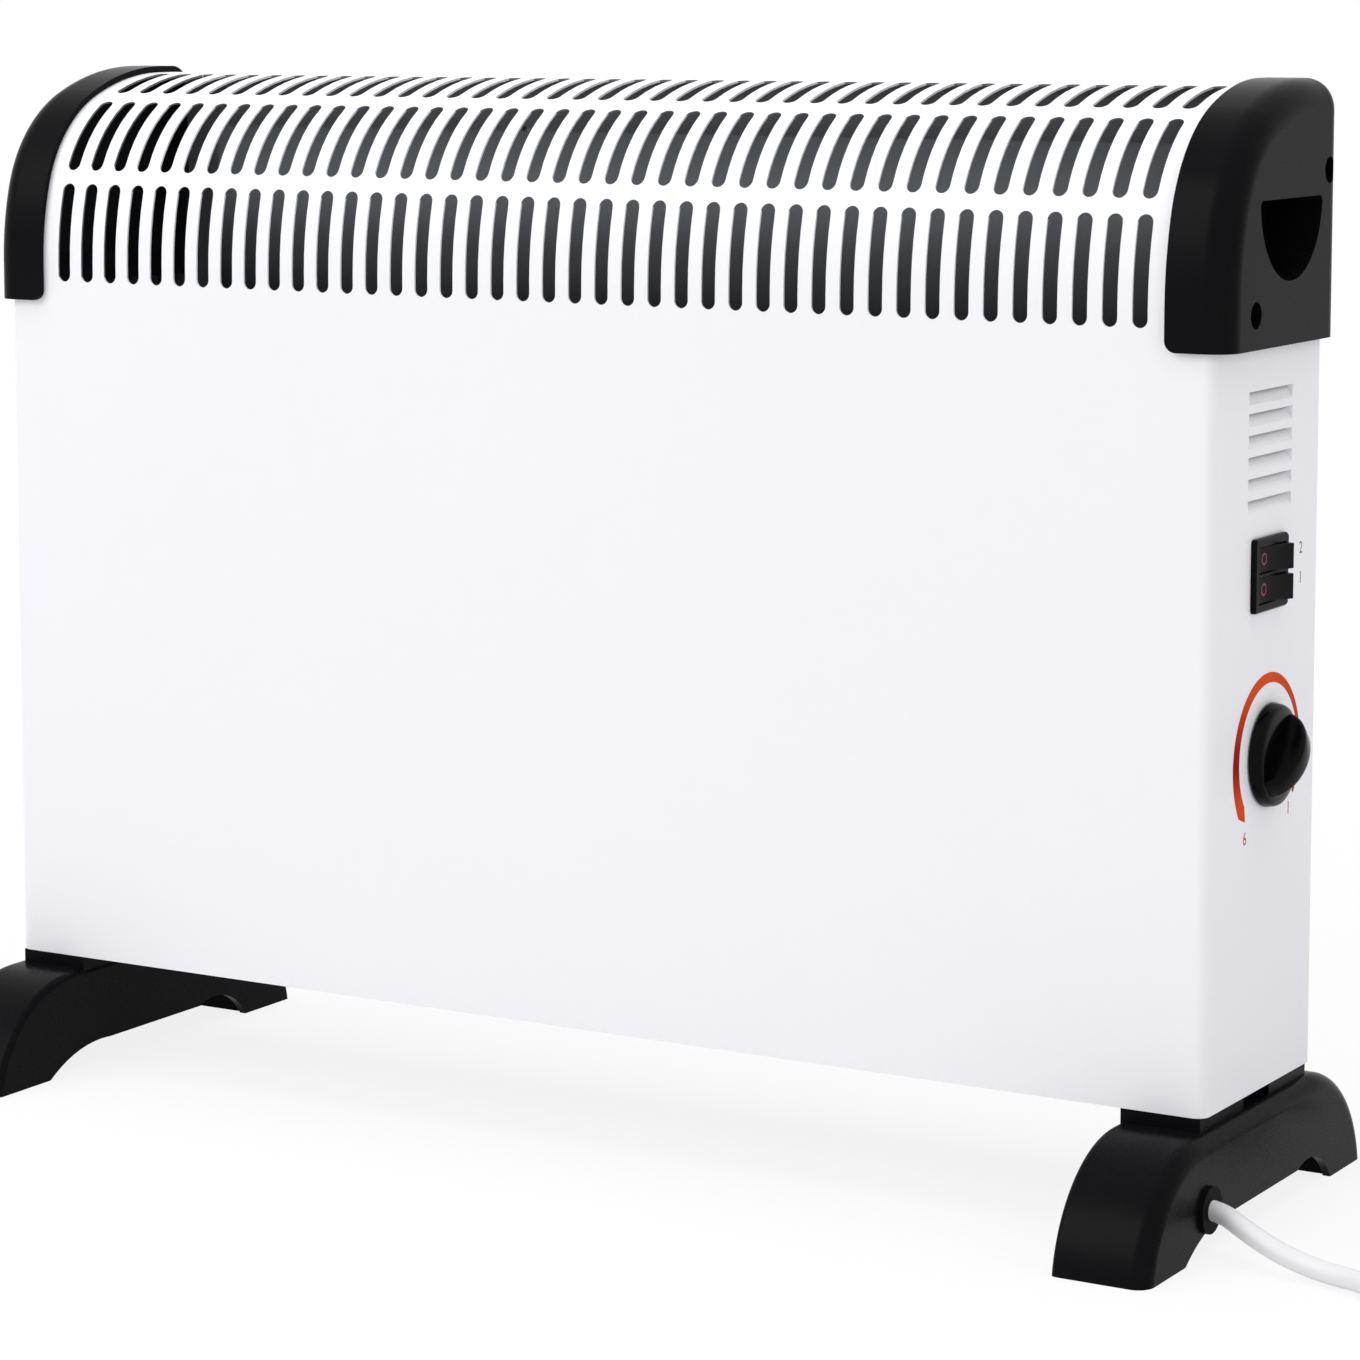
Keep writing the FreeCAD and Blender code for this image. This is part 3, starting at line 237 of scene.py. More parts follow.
# Tie round the coil: a strip of woven hook-and-loop tape, 9 mm wide, laid once round the
# bundle of cord, with its free end pressed down on top.
tie_width, tie_thickness, tie_top, tie_reach, bend = 0.009, 0.001, 0.0174, 0.01593, 0.0035
free_end = 0.016


def closed_mesh(name, shape):
    # The built faces as a mesh, all facing outwards
    bmesh.ops.recalc_face_normals(shape, faces=shape.faces)
    mesh = bpy.data.meshes.new(name)
    shape.to_mesh(mesh)
    shape.free()
    return mesh


def strap_section(out, across_strap, spot):
    # The four corners of the tape where it passes a point of its outer line
    corners = []
    for w, t in ((-1, 0), (1, 0), (1, 1), (-1, 1)):
        corners.append(spot + across_strap * (w * tie_width / 2) - out * (t * tie_thickness))
    return corners


shape = bmesh.new()
rings = []
bend_steps = 6
tie_middle = centre + along * mean_r
for corner in range(4):
    sx, sz = ((1, 1), (-1, 1), (-1, -1), (1, -1))[corner]
    pivot = Vector((sx * (tie_reach - bend), sz * (tie_top / 2 - bend) + tie_top / 2))
    for i in range(bend_steps + 1):
        a = math.radians(90.0 * (corner + i / bend_steps))
        out = along * math.cos(a) + Vector((0.0, 0.0, math.sin(a)))
        spot = tie_middle + along * pivot.x
        spot.z = pivot.y
        rings.append([shape.verts.new(p) for p in strap_section(out, side, spot + out * bend)])
for one, two in zip(rings, rings[1:] + rings[:1]):
    for i in range(4):
        j = (i + 1) % 4
        shape.faces.new((one[i], one[j], two[j], two[i]))
top = tie_middle.copy()
top.z = tie_top + tie_thickness
flap = []
for ahead in (-free_end / 2, free_end / 2):
    flap.append([shape.verts.new(p) for p in strap_section(Vector((0, 0, 1)), side, top + along * ahead)])
for i in range(4):
    j = (i + 1) % 4
    shape.faces.new((flap[0][i], flap[0][j], flap[1][j], flap[1][i]))
shape.faces.new(flap[0][::-1])
shape.faces.new(flap[1])
tie_mesh = closed_mesh("coil_strap", shape)


def tape_finish():
    # Woven nylon tape: rows of small loops, dull
    loop_mm, loop_relief = 0.7, 0.0003
    material, tree = new_material("black_nylon_loop_tape")
    place = add(tree, "ShaderNodeTexCoord").outputs["Object"]
    loops = add(tree, "ShaderNodeTexVoronoi", {"Vector": place, "Scale": 1000.0 / loop_mm})
    bump = add(tree, "ShaderNodeBump", {"Height": loops.outputs["Distance"], "Distance": loop_relief})
    shade = blend(tree, loops.outputs["Distance"], "#121214", "#1e1e21")
    surface(tree, {"Base Color": shade, "Roughness": 0.85, "Normal": bump.outputs[0]})
    return material


tie_mesh.materials.append(tape_finish())
coil_strap = link_object("coil_strap", tie_mesh)
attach(coil_strap, "heater")
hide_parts("coil_tie")


# Plug: an earthed two-pin plug moulded onto the cord in white PVC, with nickel-plated
# brass pins and earth strips.
dress(finish("white_moulded_pvc", "#e9e9eb", "#e2e2e5", 0.5, 0.6, 0.03, 20.0), "plug_body")
nickel = finish("nickel_plated_brass", "#cfccc4", "#bdb9af", 0.28, 0.5, 0.004, 9.0, metallic=1.0)
dress(nickel, "plug_pins", "plug_earth_contacts")


# Feet: two hollow arched mouldings in black ABS with a fine spark-eroded texture, and the
# round bush that holds the cord in the right one.
satin_black = finish("black_satin_abs", "#0b0b0d", "#111113", 0.28, 0.4, 0.02, 30.0, ior=1.11)
dress(satin_black, "right_foot", "left_foot")
dress(finish("black_soft_pvc", "#0c0c0d", "#111112", 0.6, 0.5, 0.02, 10.0, ior=1.12), "cord_bush")


# Foot screws: zinc-plated pan-head screws with a cross recess, driven up through the feet
# into the bottom plate.
def plain_mesh(name, made):
    # What an object's modifiers make of it, as a plain mesh
    bpy.context.view_layer.update()
    mesh = bpy.data.meshes.new_from_object(made.evaluated_get(bpy.context.evaluated_depsgraph_get()))
    mesh.name = name
    return mesh


def smooth(mesh, sharp):
    # Smooth faces, with the edges above an angle in degrees left sharp
    mesh.shade_smooth()
    mesh.set_sharp_from_angle(angle=math.radians(sharp))


def pan_head(name, radius, height):
    # A domed head standing on the ground plane, with a cross recess cut into its top
    profile = [(0.45, 1.0), (0.7, 0.95), (0.86, 0.8), (0.96, 0.55), (1.0, 0.3), (1.0, 0.0)]
    round_steps = 24
    shape = bmesh.new()
    rings = []
    for r, z in profile:
        ring = []
        for i in range(round_steps):
            a = 2 * math.pi * i / round_steps
            ring.append(shape.verts.new((r * radius * math.cos(a), r * radius * math.sin(a), z * height)))
        rings.append(ring)
    for one, two in zip(rings, rings[1:]):
        for i in range(round_steps):
            j = (i + 1) % round_steps
            shape.faces.new((one[i], two[i], two[j], one[j]))
    shape.faces.new(rings[0])
    shape.faces.new(rings[-1][::-1])
    head_mesh = closed_mesh(name, shape)
    # The recess: two crossed blades that taper downwards, in shares of the head's size
    blade_tip, blade_top, blade_thin, blade_depth, blade_middle = 0.35, 0.62, 0.3, 0.8, 0.75
    shape = bmesh.new()
    for turn in (0.0, math.pi / 2):
        blade = bmesh.ops.create_cone(shape, cap_ends=True, segments=4, radius1=blade_tip * radius,
                                      radius2=blade_top * radius, depth=blade_depth * height)["verts"]
        bmesh.ops.rotate(shape, verts=blade, cent=(0, 0, 0), matrix=Matrix.Rotation(math.pi / 4, 3, "Z"))
        bmesh.ops.scale(shape, verts=blade, vec=(1.0, blade_thin, 1.0))
        bmesh.ops.rotate(shape, verts=blade, cent=(0, 0, 0), matrix=Matrix.Rotation(turn, 3, "Z"))
        bmesh.ops.translate(shape, verts=blade, vec=(0, 0, blade_middle * height))
    recess_mesh = bpy.data.meshes.new(name + "_recess")
    shape.to_mesh(recess_mesh)
    shape.free()
    head, recess = link_object(name, head_mesh), link_object(name + "_recess", recess_mesh)
    cut = head.modifiers.new("recess", "BOOLEAN")
    cut.object = recess
    cut.solver = "EXACT"
    cut.use_self = True
    mesh = plain_mesh(name + "_cut", head)
    bpy.data.objects.remove(recess)
    bpy.data.objects.remove(head)
    return mesh


def new_tree(name, sockets):
    # An empty geometry tree with its named inputs, and the two ends of its wiring
    tree = bpy.data.node_groups.new(name, "GeometryNodeTree")
    tree.interface.new_socket("Geometry", in_out="INPUT", socket_type="NodeSocketGeometry")
    for socket, kind in sockets:
        tree.interface.new_socket(socket, in_out="INPUT", socket_type="NodeSocket" + kind)
    tree.interface.new_socket("Geometry", in_out="OUTPUT", socket_type="NodeSocketGeometry")
    return tree, add(tree, "NodeGroupInput"), add(tree, "NodeGroupOutput")


def run_tree(tree, holder, values):
    # Sets a tree's inputs by identifier on an object and returns the mesh that it makes
    modifier = holder.modifiers.new(tree.name, "NODES")
    modifier.node_group = tree
    for item in tree.interface.items_tree:
        if item.name in values:
            modifier[item.identifier] = values[item.name]
    mesh = plain_mesh(holder.name, holder)
    bpy.data.objects.remove(holder)
    return mesh


screw_tree, given, result = new_tree("screws_in_place", [("Head", "Object"), ("Slot turn", "Float"),
                                                         ("Finish", "Material")])
head = add(screw_tree, "GeometryNodeObjectInfo", {"Object": given.outputs["Head"]})
facing = add(screw_tree, "GeometryNodeInputNamedAttribute", {"Name": "facing"}, data_type="FLOAT_VECTOR")
upright = add(screw_tree, "FunctionNodeAlignRotationToVector", {"Vector": facing.outputs["Attribute"]},
              axis="Z")
count = add(screw_tree, "GeometryNodeInputIndex")
turn = add(screw_tree, "ShaderNodeMath", {0: count.outputs[0], 1: given.outputs["Slot turn"]},
           operation="MULTIPLY")
spin = add(screw_tree, "FunctionNodeAxisAngleToRotation", {"Angle": turn.outputs[0]})
turned = add(screw_tree, "FunctionNodeRotateRotation",
             {"Rotation": upright.outputs[0], "Rotate By": spin.outputs[0]}, rotation_space="LOCAL")
heads = add(screw_tree, "GeometryNodeInstanceOnPoints", {"Points": given.outputs["Geometry"],
                                                         "Instance": head.outputs["Geometry"],
                                                         "Rotation": turned.outputs[0]})
real = add(screw_tree, "GeometryNodeRealizeInstances", {"Geometry": heads.outputs[0]})
coated = add(screw_tree, "GeometryNodeSetMaterial", {"Geometry": real.outputs[0],
                                                     "Material": given.outputs["Finish"]})
screw_tree.links.new(coated.outputs[0], result.inputs[0])
slot_turn = 0.7


def screws(name, node, radius, height, seats, material):
    # Screw heads of one size, each on its seat and facing out of it, in place of a CAD node
    points = bpy.data.meshes.new(name)
    points.from_pydata([Vector(seat) for seat, _ in seats], [], [])
    facing = points.attributes.new("facing", "FLOAT_VECTOR", "POINT")
    for value, (_, out) in zip(facing.data, seats):
        value.vector = out
    model = link_object(name + "_head", pan_head(name + "_head", radius, height))
    mesh = run_tree(screw_tree, link_object(name, points),
                    {"Head": model, "Slot turn": slot_turn, "Finish": material})
    bpy.data.objects.remove(model)
    smooth(mesh, 35.0)
    made = link_object(name, mesh)
    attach(made, "heater")
    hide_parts(node)


# Zinc plating: bright, a little mottled
zinc = finish("zinc_plated_steel", "#b3b5b6", "#9a9da0", 0.36, 0.5, 0.004, 6.0, metallic=1.0)
foot_screw_x, foot_screw_y, foot_seat = 0.23625, 0.038, 0.0365
foot_head_r, foot_head = 0.004, 0.0026
seats = [((x, y, foot_seat), (0, 0, -1))
         for x in (-foot_screw_x, foot_screw_x) for y in (-foot_screw_y, foot_screw_y)]
screws("foot_screw_heads", "foot_screws", foot_head_r, foot_head, seats, zinc)


# Bottom plate: galvanised steel with rows of air inlet slots, screwed to the feet and
# carrying the heating element.
def galvanised_finish(name, colour, second):
    # Dipped zinc: flat crystals, each a slightly different grey
    crystal_mm = 7.0
    material, tree = new_material(name)
    place = add(tree, "ShaderNodeTexCoord").outputs["Object"]
    spangle = add(tree, "ShaderNodeTexVoronoi", {"Vector": place, "Scale": 1000.0 / crystal_mm})
    tone = add(tree, "ShaderNodeSeparateColor", {0: spangle.outputs["Color"]})
    shade = blend(tree, tone.outputs[0], colour, second)
    rough = add(tree, "ShaderNodeMapRange", {"Value": tone.outputs[1], "To Min": 0.42, "To Max": 0.6})
    surface(tree, {"Base Color": shade, "Roughness": rough.outputs[0], "Metallic": 0.8})
    return material


galvanised = galvanised_finish("galvanised_steel", "#8d9093", "#a3a6a8")
dress(galvanised, "bottom_plate", "right_element_bracket", "left_element_bracket")


# Heating element: folded rails of aluminised steel that carry five mica boards, a ceramic
# thermal cut-out beside them, and a dull heat shield before and behind.
# Dark grey steel: painted shade, for the front heat shield and the brackets inside the wings
dark_shade_steel = galvanised_finish("aluminised_steel_dulled_by_heat", "#2c2d30", "#36373a")


def colour_ramp(tree, share, stops):
    # The colour at a share of the way through a row of colours
    ramp = add(tree, "ShaderNodeValToRGB", {"Fac": share})
    for i, (at, colour) in enumerate(stops):
        stop = ramp.color_ramp.elements[i] if i < 2 else ramp.color_ramp.elements.new(at)
        stop.position = at
        stop.color = linear(colour)
    return ramp.outputs["Color"]


def light_and_shade_by_height_finish():
    # Steel sheet coloured by height as painted light and shade inside the heater: near black low down as
    # painted shade, palest where painted light from the slots above falls, darker again under the top
    material, tree = new_material("heat_stained_steel")
    place = add(tree, "ShaderNodeTexCoord").outputs["Object"]
    height = add(tree, "ShaderNodeSeparateXYZ", {0: place})
    low, high, mottle_mm = 0.28, 0.38, 25.0
    share = add(tree, "ShaderNodeMapRange",
                {"Value": height.outputs["Z"], "From Min": low, "From Max": high})
    # Painted light and shade by height: from painted shade low down to painted light near the slots
    painted_light_stops = ((0.300, "#2c2e33"), (0.322, "#676a71"), (0.340, "#93979f"), (0.352, "#84888f"),
              (0.366, "#6a6d74"))
    painted_light_colour = colour_ramp(tree, share.outputs[0], [((z - low) / (high - low), colour) for z, colour in painted_light_stops])
    mottle = add(tree, "ShaderNodeTexNoise", {"Vector": place, "Scale": 1000.0 / mottle_mm, "Detail": 3.0})
    rough = add(tree, "ShaderNodeMapRange", {"Value": mottle.outputs["Fac"], "To Min": 0.45, "To Max": 0.7})
    surface(tree, {"Base Color": painted_light_colour, "Roughness": rough.outputs[0]})
    return material


dress(galvanised_finish("aluminised_steel", "#9a9c9e", "#adafb1"), "element_rails")
# The front heat shield is plain dark grey: painted shade
dress(dark_shade_steel, "front_heat_shield")
# The rear heat shield carries the painted light and shade by height
dress(light_and_shade_by_height_finish(), "rear_heat_shield")
dress(finish("phlogopite_mica", "#a89a7c", "#8c7d60", 0.45, 1.5, 0.05, 4.0), "mica_supports")
dress(finish("white_ceramic", "#dcd8cc", "#d2cdbf", 0.3, 0.8, 0.01, 12.0), "thermal_cutout")


# Heating coils: resistance wire wound into long springs, strung through the mica boards, out
# along one side of the element and back along the other.
coil_wire_r, coil_wind_r, wind_pitch, points_per_wind = 0.0004, 0.0026, 0.0018, 8
coil_half_length, coil_half_width, bow_steps = 0.194, 0.012, 12

wire_tree, given, result = new_tree("wound_wire", [("Wind radius", "Float"), ("Wire radius", "Float"),
                                                   ("Pitch", "Float"), ("Finish", "Material")])
spacing = add(wire_tree, "ShaderNodeMath", {0: given.outputs["Pitch"], 1: float(points_per_wind)},
              operation="DIVIDE")
fine = add(wire_tree, "GeometryNodeResampleCurve",
           {"Curve": given.outputs["Geometry"], "Length": spacing.outputs[0]}, mode="LENGTH")
count = add(wire_tree, "GeometryNodeInputIndex")
angle = add(wire_tree, "ShaderNodeMath", {0: count.outputs[0], 1: 2 * math.pi / points_per_wind},
            operation="MULTIPLY")
tangent = add(wire_tree, "GeometryNodeInputTangent")
arm = add(wire_tree, "GeometryNodeInputNormal")
arm = add(wire_tree, "ShaderNodeVectorMath",
          {0: arm.outputs["Normal"], "Scale": given.outputs["Wind radius"]}, operation="SCALE")
offset = add(wire_tree, "ShaderNodeVectorRotate",
             {"Vector": arm.outputs["Vector"], "Axis": tangent.outputs[0], "Angle": angle.outputs[0]})
wound = add(wire_tree, "GeometryNodeSetPosition", {"Geometry": fine.outputs[0], "Offset": offset.outputs[0]})
section = add(wire_tree, "GeometryNodeCurvePrimitiveCircle",
              {"Resolution": 5, "Radius": given.outputs["Wire radius"]})
wire = add(wire_tree, "GeometryNodeCurveToMesh",
           {"Curve": wound.outputs[0], "Profile Curve": section.outputs["Curve"], "Fill Caps": True})
coated = add(wire_tree, "GeometryNodeSetMaterial",
             {"Geometry": wire.outputs[0], "Material": given.outputs["Finish"]})
wire_tree.links.new(coated.outputs[0], result.inputs[0])

# Drawn alloy wire: oxidised dark grey, faintly shiny
resistance_wire = finish("oxidised_resistance_wire", "#4a4744", "#5b5753", 0.4, 0.4, 0.004, 8.0,
                         metallic=1.0)
for node, height in (("low_heating_coil", 0.1098), ("high_heating_coil", 0.1218)):
    path = bpy.data.curves.new(node + "_path", "CURVE")
    path.dimensions = "3D"
    spots = [(coil_half_length, -coil_half_width)]
    for i in range(bow_steps + 1):
        a = math.radians(-90.0 - 180.0 * i / bow_steps)
        spots.append((-coil_half_length + coil_half_width * math.cos(a), coil_half_width * math.sin(a)))
    spots.append((coil_half_length, coil_half_width))
    run = path.splines.new("POLY")
    run.points.add(len(spots) - 1)
    for point, (x, y) in zip(run.points, spots):
        point.co = (x, y, height, 1.0)
    mesh = run_tree(wire_tree, link_object(node + "_winding", path),
                    {"Wind radius": coil_wind_r, "Wire radius": coil_wire_r, "Pitch": wind_pitch,
                     "Finish": resistance_wire})
    mesh.shade_smooth()
    winding = link_object(node + "_winding", mesh)
    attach(winding, "heater")
    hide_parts(node)


# Wiring: a terminal block on the bottom plate takes the supply cable; wires with a glass-braid
# sleeve lead from it to the switch, thermostat and element.
dress(finish("cream_polyamide", "#d9d3c0", "#cfc8b3", 0.5, 0.8, 0.02, 15.0), "terminal_block")
dress(zinc, "terminal_screws", "earth_screw")
dress(white_pvc, "supply_cable")
dress(finish("glass_braid_sleeve", "#c9c6bd", "#b5b1a6", 0.8, 0.8, 0.1, 3.0), "internal_wires")


# Front shell: one steel sheet folded into front, curved slotted top and end wings, powder coated white
# outside; the inside faces are coloured a darker grey as painted shade.
def powder_coat(name, inside_share):
    # Baked powder: white, half gloss, with a faint orange peel
    peel_mm, peel_relief, tone_mm = 1.4, 0.00002, 180.0
    material, tree = new_material(name)
    where = add(tree, "ShaderNodeTexCoord")
    place = where.outputs["Object"]
    peel = add(tree, "ShaderNodeTexNoise", {"Vector": place, "Scale": 1000.0 / peel_mm, "Detail": 1.0})
    bump = add(tree, "ShaderNodeBump",
               {"Height": peel.outputs["Fac"], "Distance": peel_relief, "Strength": 0.6})
    tone = add(tree, "ShaderNodeTexNoise", {"Vector": place, "Scale": 1000.0 / tone_mm})
    shade = blend(tree, tone.outputs["Fac"], "#f3f2f7", "#f0f0f5")
    paint = add(tree, "ShaderNodeBsdfPrincipled",
                {"Base Color": shade, "Roughness": 0.42, "Normal": bump.outputs[0]})
    # Painted shade: the inside faces get a darker grey in place of the white
    painted_shade_inside = add(tree, "ShaderNodeBsdfPrincipled", {"Base Color": linear("#808388"), "Roughness": 0.6})
    share = inside_share(tree, where)
    both = add(tree, "ShaderNodeMixShader", {0: share, 1: paint.outputs[0], 2: painted_shade_inside.outputs[0]})
    add(tree, "ShaderNodeOutputMaterial", {"Surface": both.outputs[0]})
    return material


def inside_of_shell(tree, where):
    # 1 on faces that look towards the middle of the section or along the heater, but not in the
    # louvres, which are painted with the outside
    # The faces found here get the painted shade of the inside
    section_middle_z, louvre_bottom_x, least_inward, least_along = 0.2, 0.2455, -0.12, -0.2
    spot = add(tree, "ShaderNodeSeparateXYZ", {0: where.outputs["Object"]})
    faces = add(tree, "ShaderNodeSeparateXYZ", {0: where.outputs["Normal"]})
    up = add(tree, "ShaderNodeMath", {0: spot.outputs["Z"], 1: section_middle_z}, operation="SUBTRACT")
    arm = add(tree, "ShaderNodeCombineXYZ", {"Y": spot.outputs["Y"], "Z": up.outputs[0]})
    arm = add(tree, "ShaderNodeVectorMath", {0: arm.outputs[0]}, operation="NORMALIZE")
    inward = add(tree, "ShaderNodeVectorMath", {0: arm.outputs["Vector"], 1: where.outputs["Normal"]},
                 operation="DOT_PRODUCT")
    inward = add(tree, "ShaderNodeMath", {0: inward.outputs["Value"], 1: least_inward},
                 operation="LESS_THAN")
    reach = add(tree, "ShaderNodeMath", {0: spot.outputs["X"]}, operation="ABSOLUTE")
    middle = add(tree, "ShaderNodeMath", {0: reach.outputs[0], 1: louvre_bottom_x}, operation="LESS_THAN")
    inward = add(tree, "ShaderNodeMath", {0: inward.outputs[0], 1: middle.outputs[0]}, operation="MULTIPLY")
    wing = add(tree, "ShaderNodeMath", {0: spot.outputs["X"], 1: faces.outputs["X"]}, operation="MULTIPLY")
    wing = add(tree, "ShaderNodeMath", {0: wing.outputs[0], 1: least_along}, operation="LESS_THAN")
    either = add(tree, "ShaderNodeMath", {0: inward.outputs[0], 1: wing.outputs[0]}, operation="MAXIMUM")
    return either.outputs[0]


dress(powder_coat("white_powder_coat", inside_of_shell), "front_shell")


# Back panel: a plain powder-coated sheet that closes the rear, held by ten zinc-plated
# pan-head screws, with a bare foil plate stuck on low down.
def inside_of_panel(tree, where):
    # 1 on faces that look forwards, into the heater; these get the painted shade
    least_forward = -0.5
    faces = add(tree, "ShaderNodeSeparateXYZ", {0: where.outputs["Normal"]})
    forward = add(tree, "ShaderNodeMath", {0: faces.outputs["Y"], 1: least_forward}, operation="LESS_THAN")
    return forward.outputs[0]


# Its inside face gets the darker grey of painted shade
dress(powder_coat("white_powder_coat_panel", inside_of_panel), "back_panel")
panel_seat = 0.0455
edge_x, edge_heights, top_x, top_z = 0.243, (0.058, 0.174, 0.290), (-0.216, -0.072, 0.072, 0.216), 0.3625
places = [(x, z) for x in (-edge_x, edge_x) for z in edge_heights] + [(x, top_z) for x in top_x]
panel_head_r, panel_head = 0.0032, 0.0018
seats = [((x, panel_seat, z), (0, 1, 0)) for x, z in places]
screws("panel_screw_heads", "back_panel_screws", panel_head_r, panel_head, seats, zinc)

plate_x, plate_z, plate_wide, plate_high, foil = -0.140, 0.100, 0.070, 0.034, 0.0001
plate_corner, corner_steps = 0.003, 6
shape = bmesh.new()
edge = []
for sx, sz, start in ((1, 1, 0), (-1, 1, 90), (-1, -1, 180), (1, -1, 270)):
    for i in range(corner_steps + 1):
        a = math.radians(start + 90.0 * i / corner_steps)
        edge.append((plate_x + sx * (plate_wide / 2 - plate_corner) + plate_corner * math.cos(a),
                     plate_z + sz * (plate_high / 2 - plate_corner) + plate_corner * math.sin(a)))
panel_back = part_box("back_panel")[1][1]
back_face = shape.faces.new([shape.verts.new((x, panel_back, z)) for x, z in edge])
raised = bmesh.ops.extrude_face_region(shape, geom=[back_face])["geom"]
lifted = [v for v in raised if isinstance(v, bmesh.types.BMVert)]
bmesh.ops.translate(shape, verts=lifted, vec=(0.0, foil, 0.0))
mesh = closed_mesh("bare_foil_plate", shape)
# Satin aluminium foil: fine rolling lines along its length
line_length_mm, line_apart_mm = 50.0, 0.3
brushed, tree = new_material("satin_aluminium_foil")
place = add(tree, "ShaderNodeTexCoord").outputs["Object"]
drawn = add(tree, "ShaderNodeMapping",
            {"Vector": place, "Scale": (1000.0 / line_length_mm, 1.0, 1000.0 / line_apart_mm)})
rolling = add(tree, "ShaderNodeTexNoise", {"Vector": drawn.outputs[0], "Scale": 1.0, "Detail": 2.0})
rough = add(tree, "ShaderNodeMapRange", {"Value": rolling.outputs["Fac"], "To Min": 0.35, "To Max": 0.5})
surface(tree, {"Base Color": linear("#c6c8ca"), "Metallic": 1.0, "Roughness": rough.outputs[0]})
mesh.materials.append(brushed)
foil_plate = link_object("bare_foil_plate", mesh)
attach(foil_plate, "heater")


# End caps: black ABS mouldings over the ends of the curved top, each with a grip recess and
# two screws in round recesses, drawn onto steel brackets inside the wings.
dress(satin_black, "right_end_cap", "left_end_cap")
# The brackets inside the wings are dark grey: painted shade
dress(dark_shade_steel, "right_end_bracket", "left_end_bracket")
cap_seat, cap_head_r, cap_head = 0.236, 0.0036, 0.0024
cap_places = ((-0.0255, 0.3095), (0.0365, 0.3550))
seats = [((s * cap_seat, y, z), (s, 0, 0)) for s in (1, -1) for y, z in cap_places]
black_zinc = finish("black_zinc_plated_steel", "#2a2a2c", "#1d1d1f", 0.35, 0.5, 0.004, 3.0, metallic=1.0)
screws("cap_screw_heads", "end_cap_screws", cap_head_r, cap_head, seats, black_zinc)


# Switch: a double rocker switch snapped into the right wing, with a frame of black ABS and
# rockers of black nylon, each with a ring printed on its front half.
rocker_black = finish("black_switch_nylon", "#060607", "#0a0a0b", 0.3, 0.6, 0.004, 10.0, ior=1.16)
dress(satin_black, "switch_frame")
gloss_black = finish("black_gloss_abs", "#030304", "#060607", 0.16, 0.8, 0.004, 20.0, ior=1.16)
tinned_brass = finish("tinned_brass", "#b9b4a6", "#a9a392", 0.35, 0.5, 0.004, 6.0, metallic=1.0)
dress(tinned_brass, "switch_terminals")


def on_face(node, start, direction):
    # Where a line meets a CAD piece: sideways, up and out of its face, at that point
    _, spot, out, _ = nodes[node].ray_cast(Vector(start), Vector(direction))
    sideways = Vector((0.0, 0.0, 1.0)).cross(out).normalized()
    up = out.cross(sideways)
    return Matrix.Translation(spot) @ Matrix((sideways, up, out)).transposed().to_4x4()


def printed(name, sign, height, frame_on_face, material, body):
    # A printed sign: a film of ink that lies on the face
    ink, font_height = 0.00004, 0.7
    letter = bpy.data.curves.new(name, "FONT")
    letter.body = sign
    letter.size = height / font_height
    letter.align_x = "CENTER"
    letter.align_y = "CENTER"
    letter.extrude = ink
    letter.resolution_u = 4
    holder = link_object(name, letter)
    mesh = plain_mesh(name, holder)
    bpy.data.objects.remove(holder)
    mesh.transform(frame_on_face)
    mesh.materials.clear()
    mesh.materials.append(material)
    made = link_object(name, mesh)
    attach(made, body)


bpy.context.view_layer.update()
red_ink = finish("red_printing_ink", "#8c1a2c", "#7a1626", 0.45, 0.3, 0.004, 2.0)
rocker_mark_out, rocker_mark, rocker_edge, beyond_wing = 0.0062, 0.0042, 0.0006, 0.3
for node in ("upper_rocker", "lower_rocker"):
    low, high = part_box(node)
    _, switch_y, rocker_z = (low + high) / 2
    spot = on_face(node, (beyond_wing, switch_y - rocker_mark_out, rocker_z), (-1, 0, 0))
    printed(node + "_mark", "O", rocker_mark, spot, red_ink, node)
    # The rocker with its moulded edges rounded
    shape = bmesh.new()
    shape.from_mesh(nodes[node].data)
    bmesh.ops.remove_doubles(shape, verts=shape.verts, dist=0.000002)
    bmesh.ops.dissolve_limit(shape, angle_limit=math.radians(1.0), verts=shape.verts, edges=shape.edges)
    sharp = [e for e in shape.edges if e.is_manifold and e.calc_face_angle() > math.radians(40.0)]
    bmesh.ops.bevel(shape, geom=sharp, offset=rocker_edge, segments=3, profile=0.5, affect="EDGES",
                    clamp_overlap=True)
    mesh = bpy.data.meshes.new(node + "_rounded")
    shape.to_mesh(mesh)
    shape.free()
    mesh.materials.clear()
    mesh.materials.append(rocker_black)
    smooth(mesh, 18.0)
    rounded = link_object(node + "_rounded", mesh)
    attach(rounded, node)
    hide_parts(node)


# Thermostat: a phenolic body behind the right wing, fixed by two screws, with an aluminium
# shaft that stands out through the sheet.
dress(finish("brown_phenolic", "#2b2019", "#36281f", 0.45, 0.8, 0.02, 8.0), "thermostat_body")
dress(tinned_brass, "thermostat_terminals")
dress(zinc, "thermostat_screws")
turned_aluminium = finish("turned_aluminium", "#c3c5c7", "#b2b4b6", 0.3, 0.4, 0.004, 5.0, metallic=1.0)
dress(turned_aluminium, "thermostat_shaft")


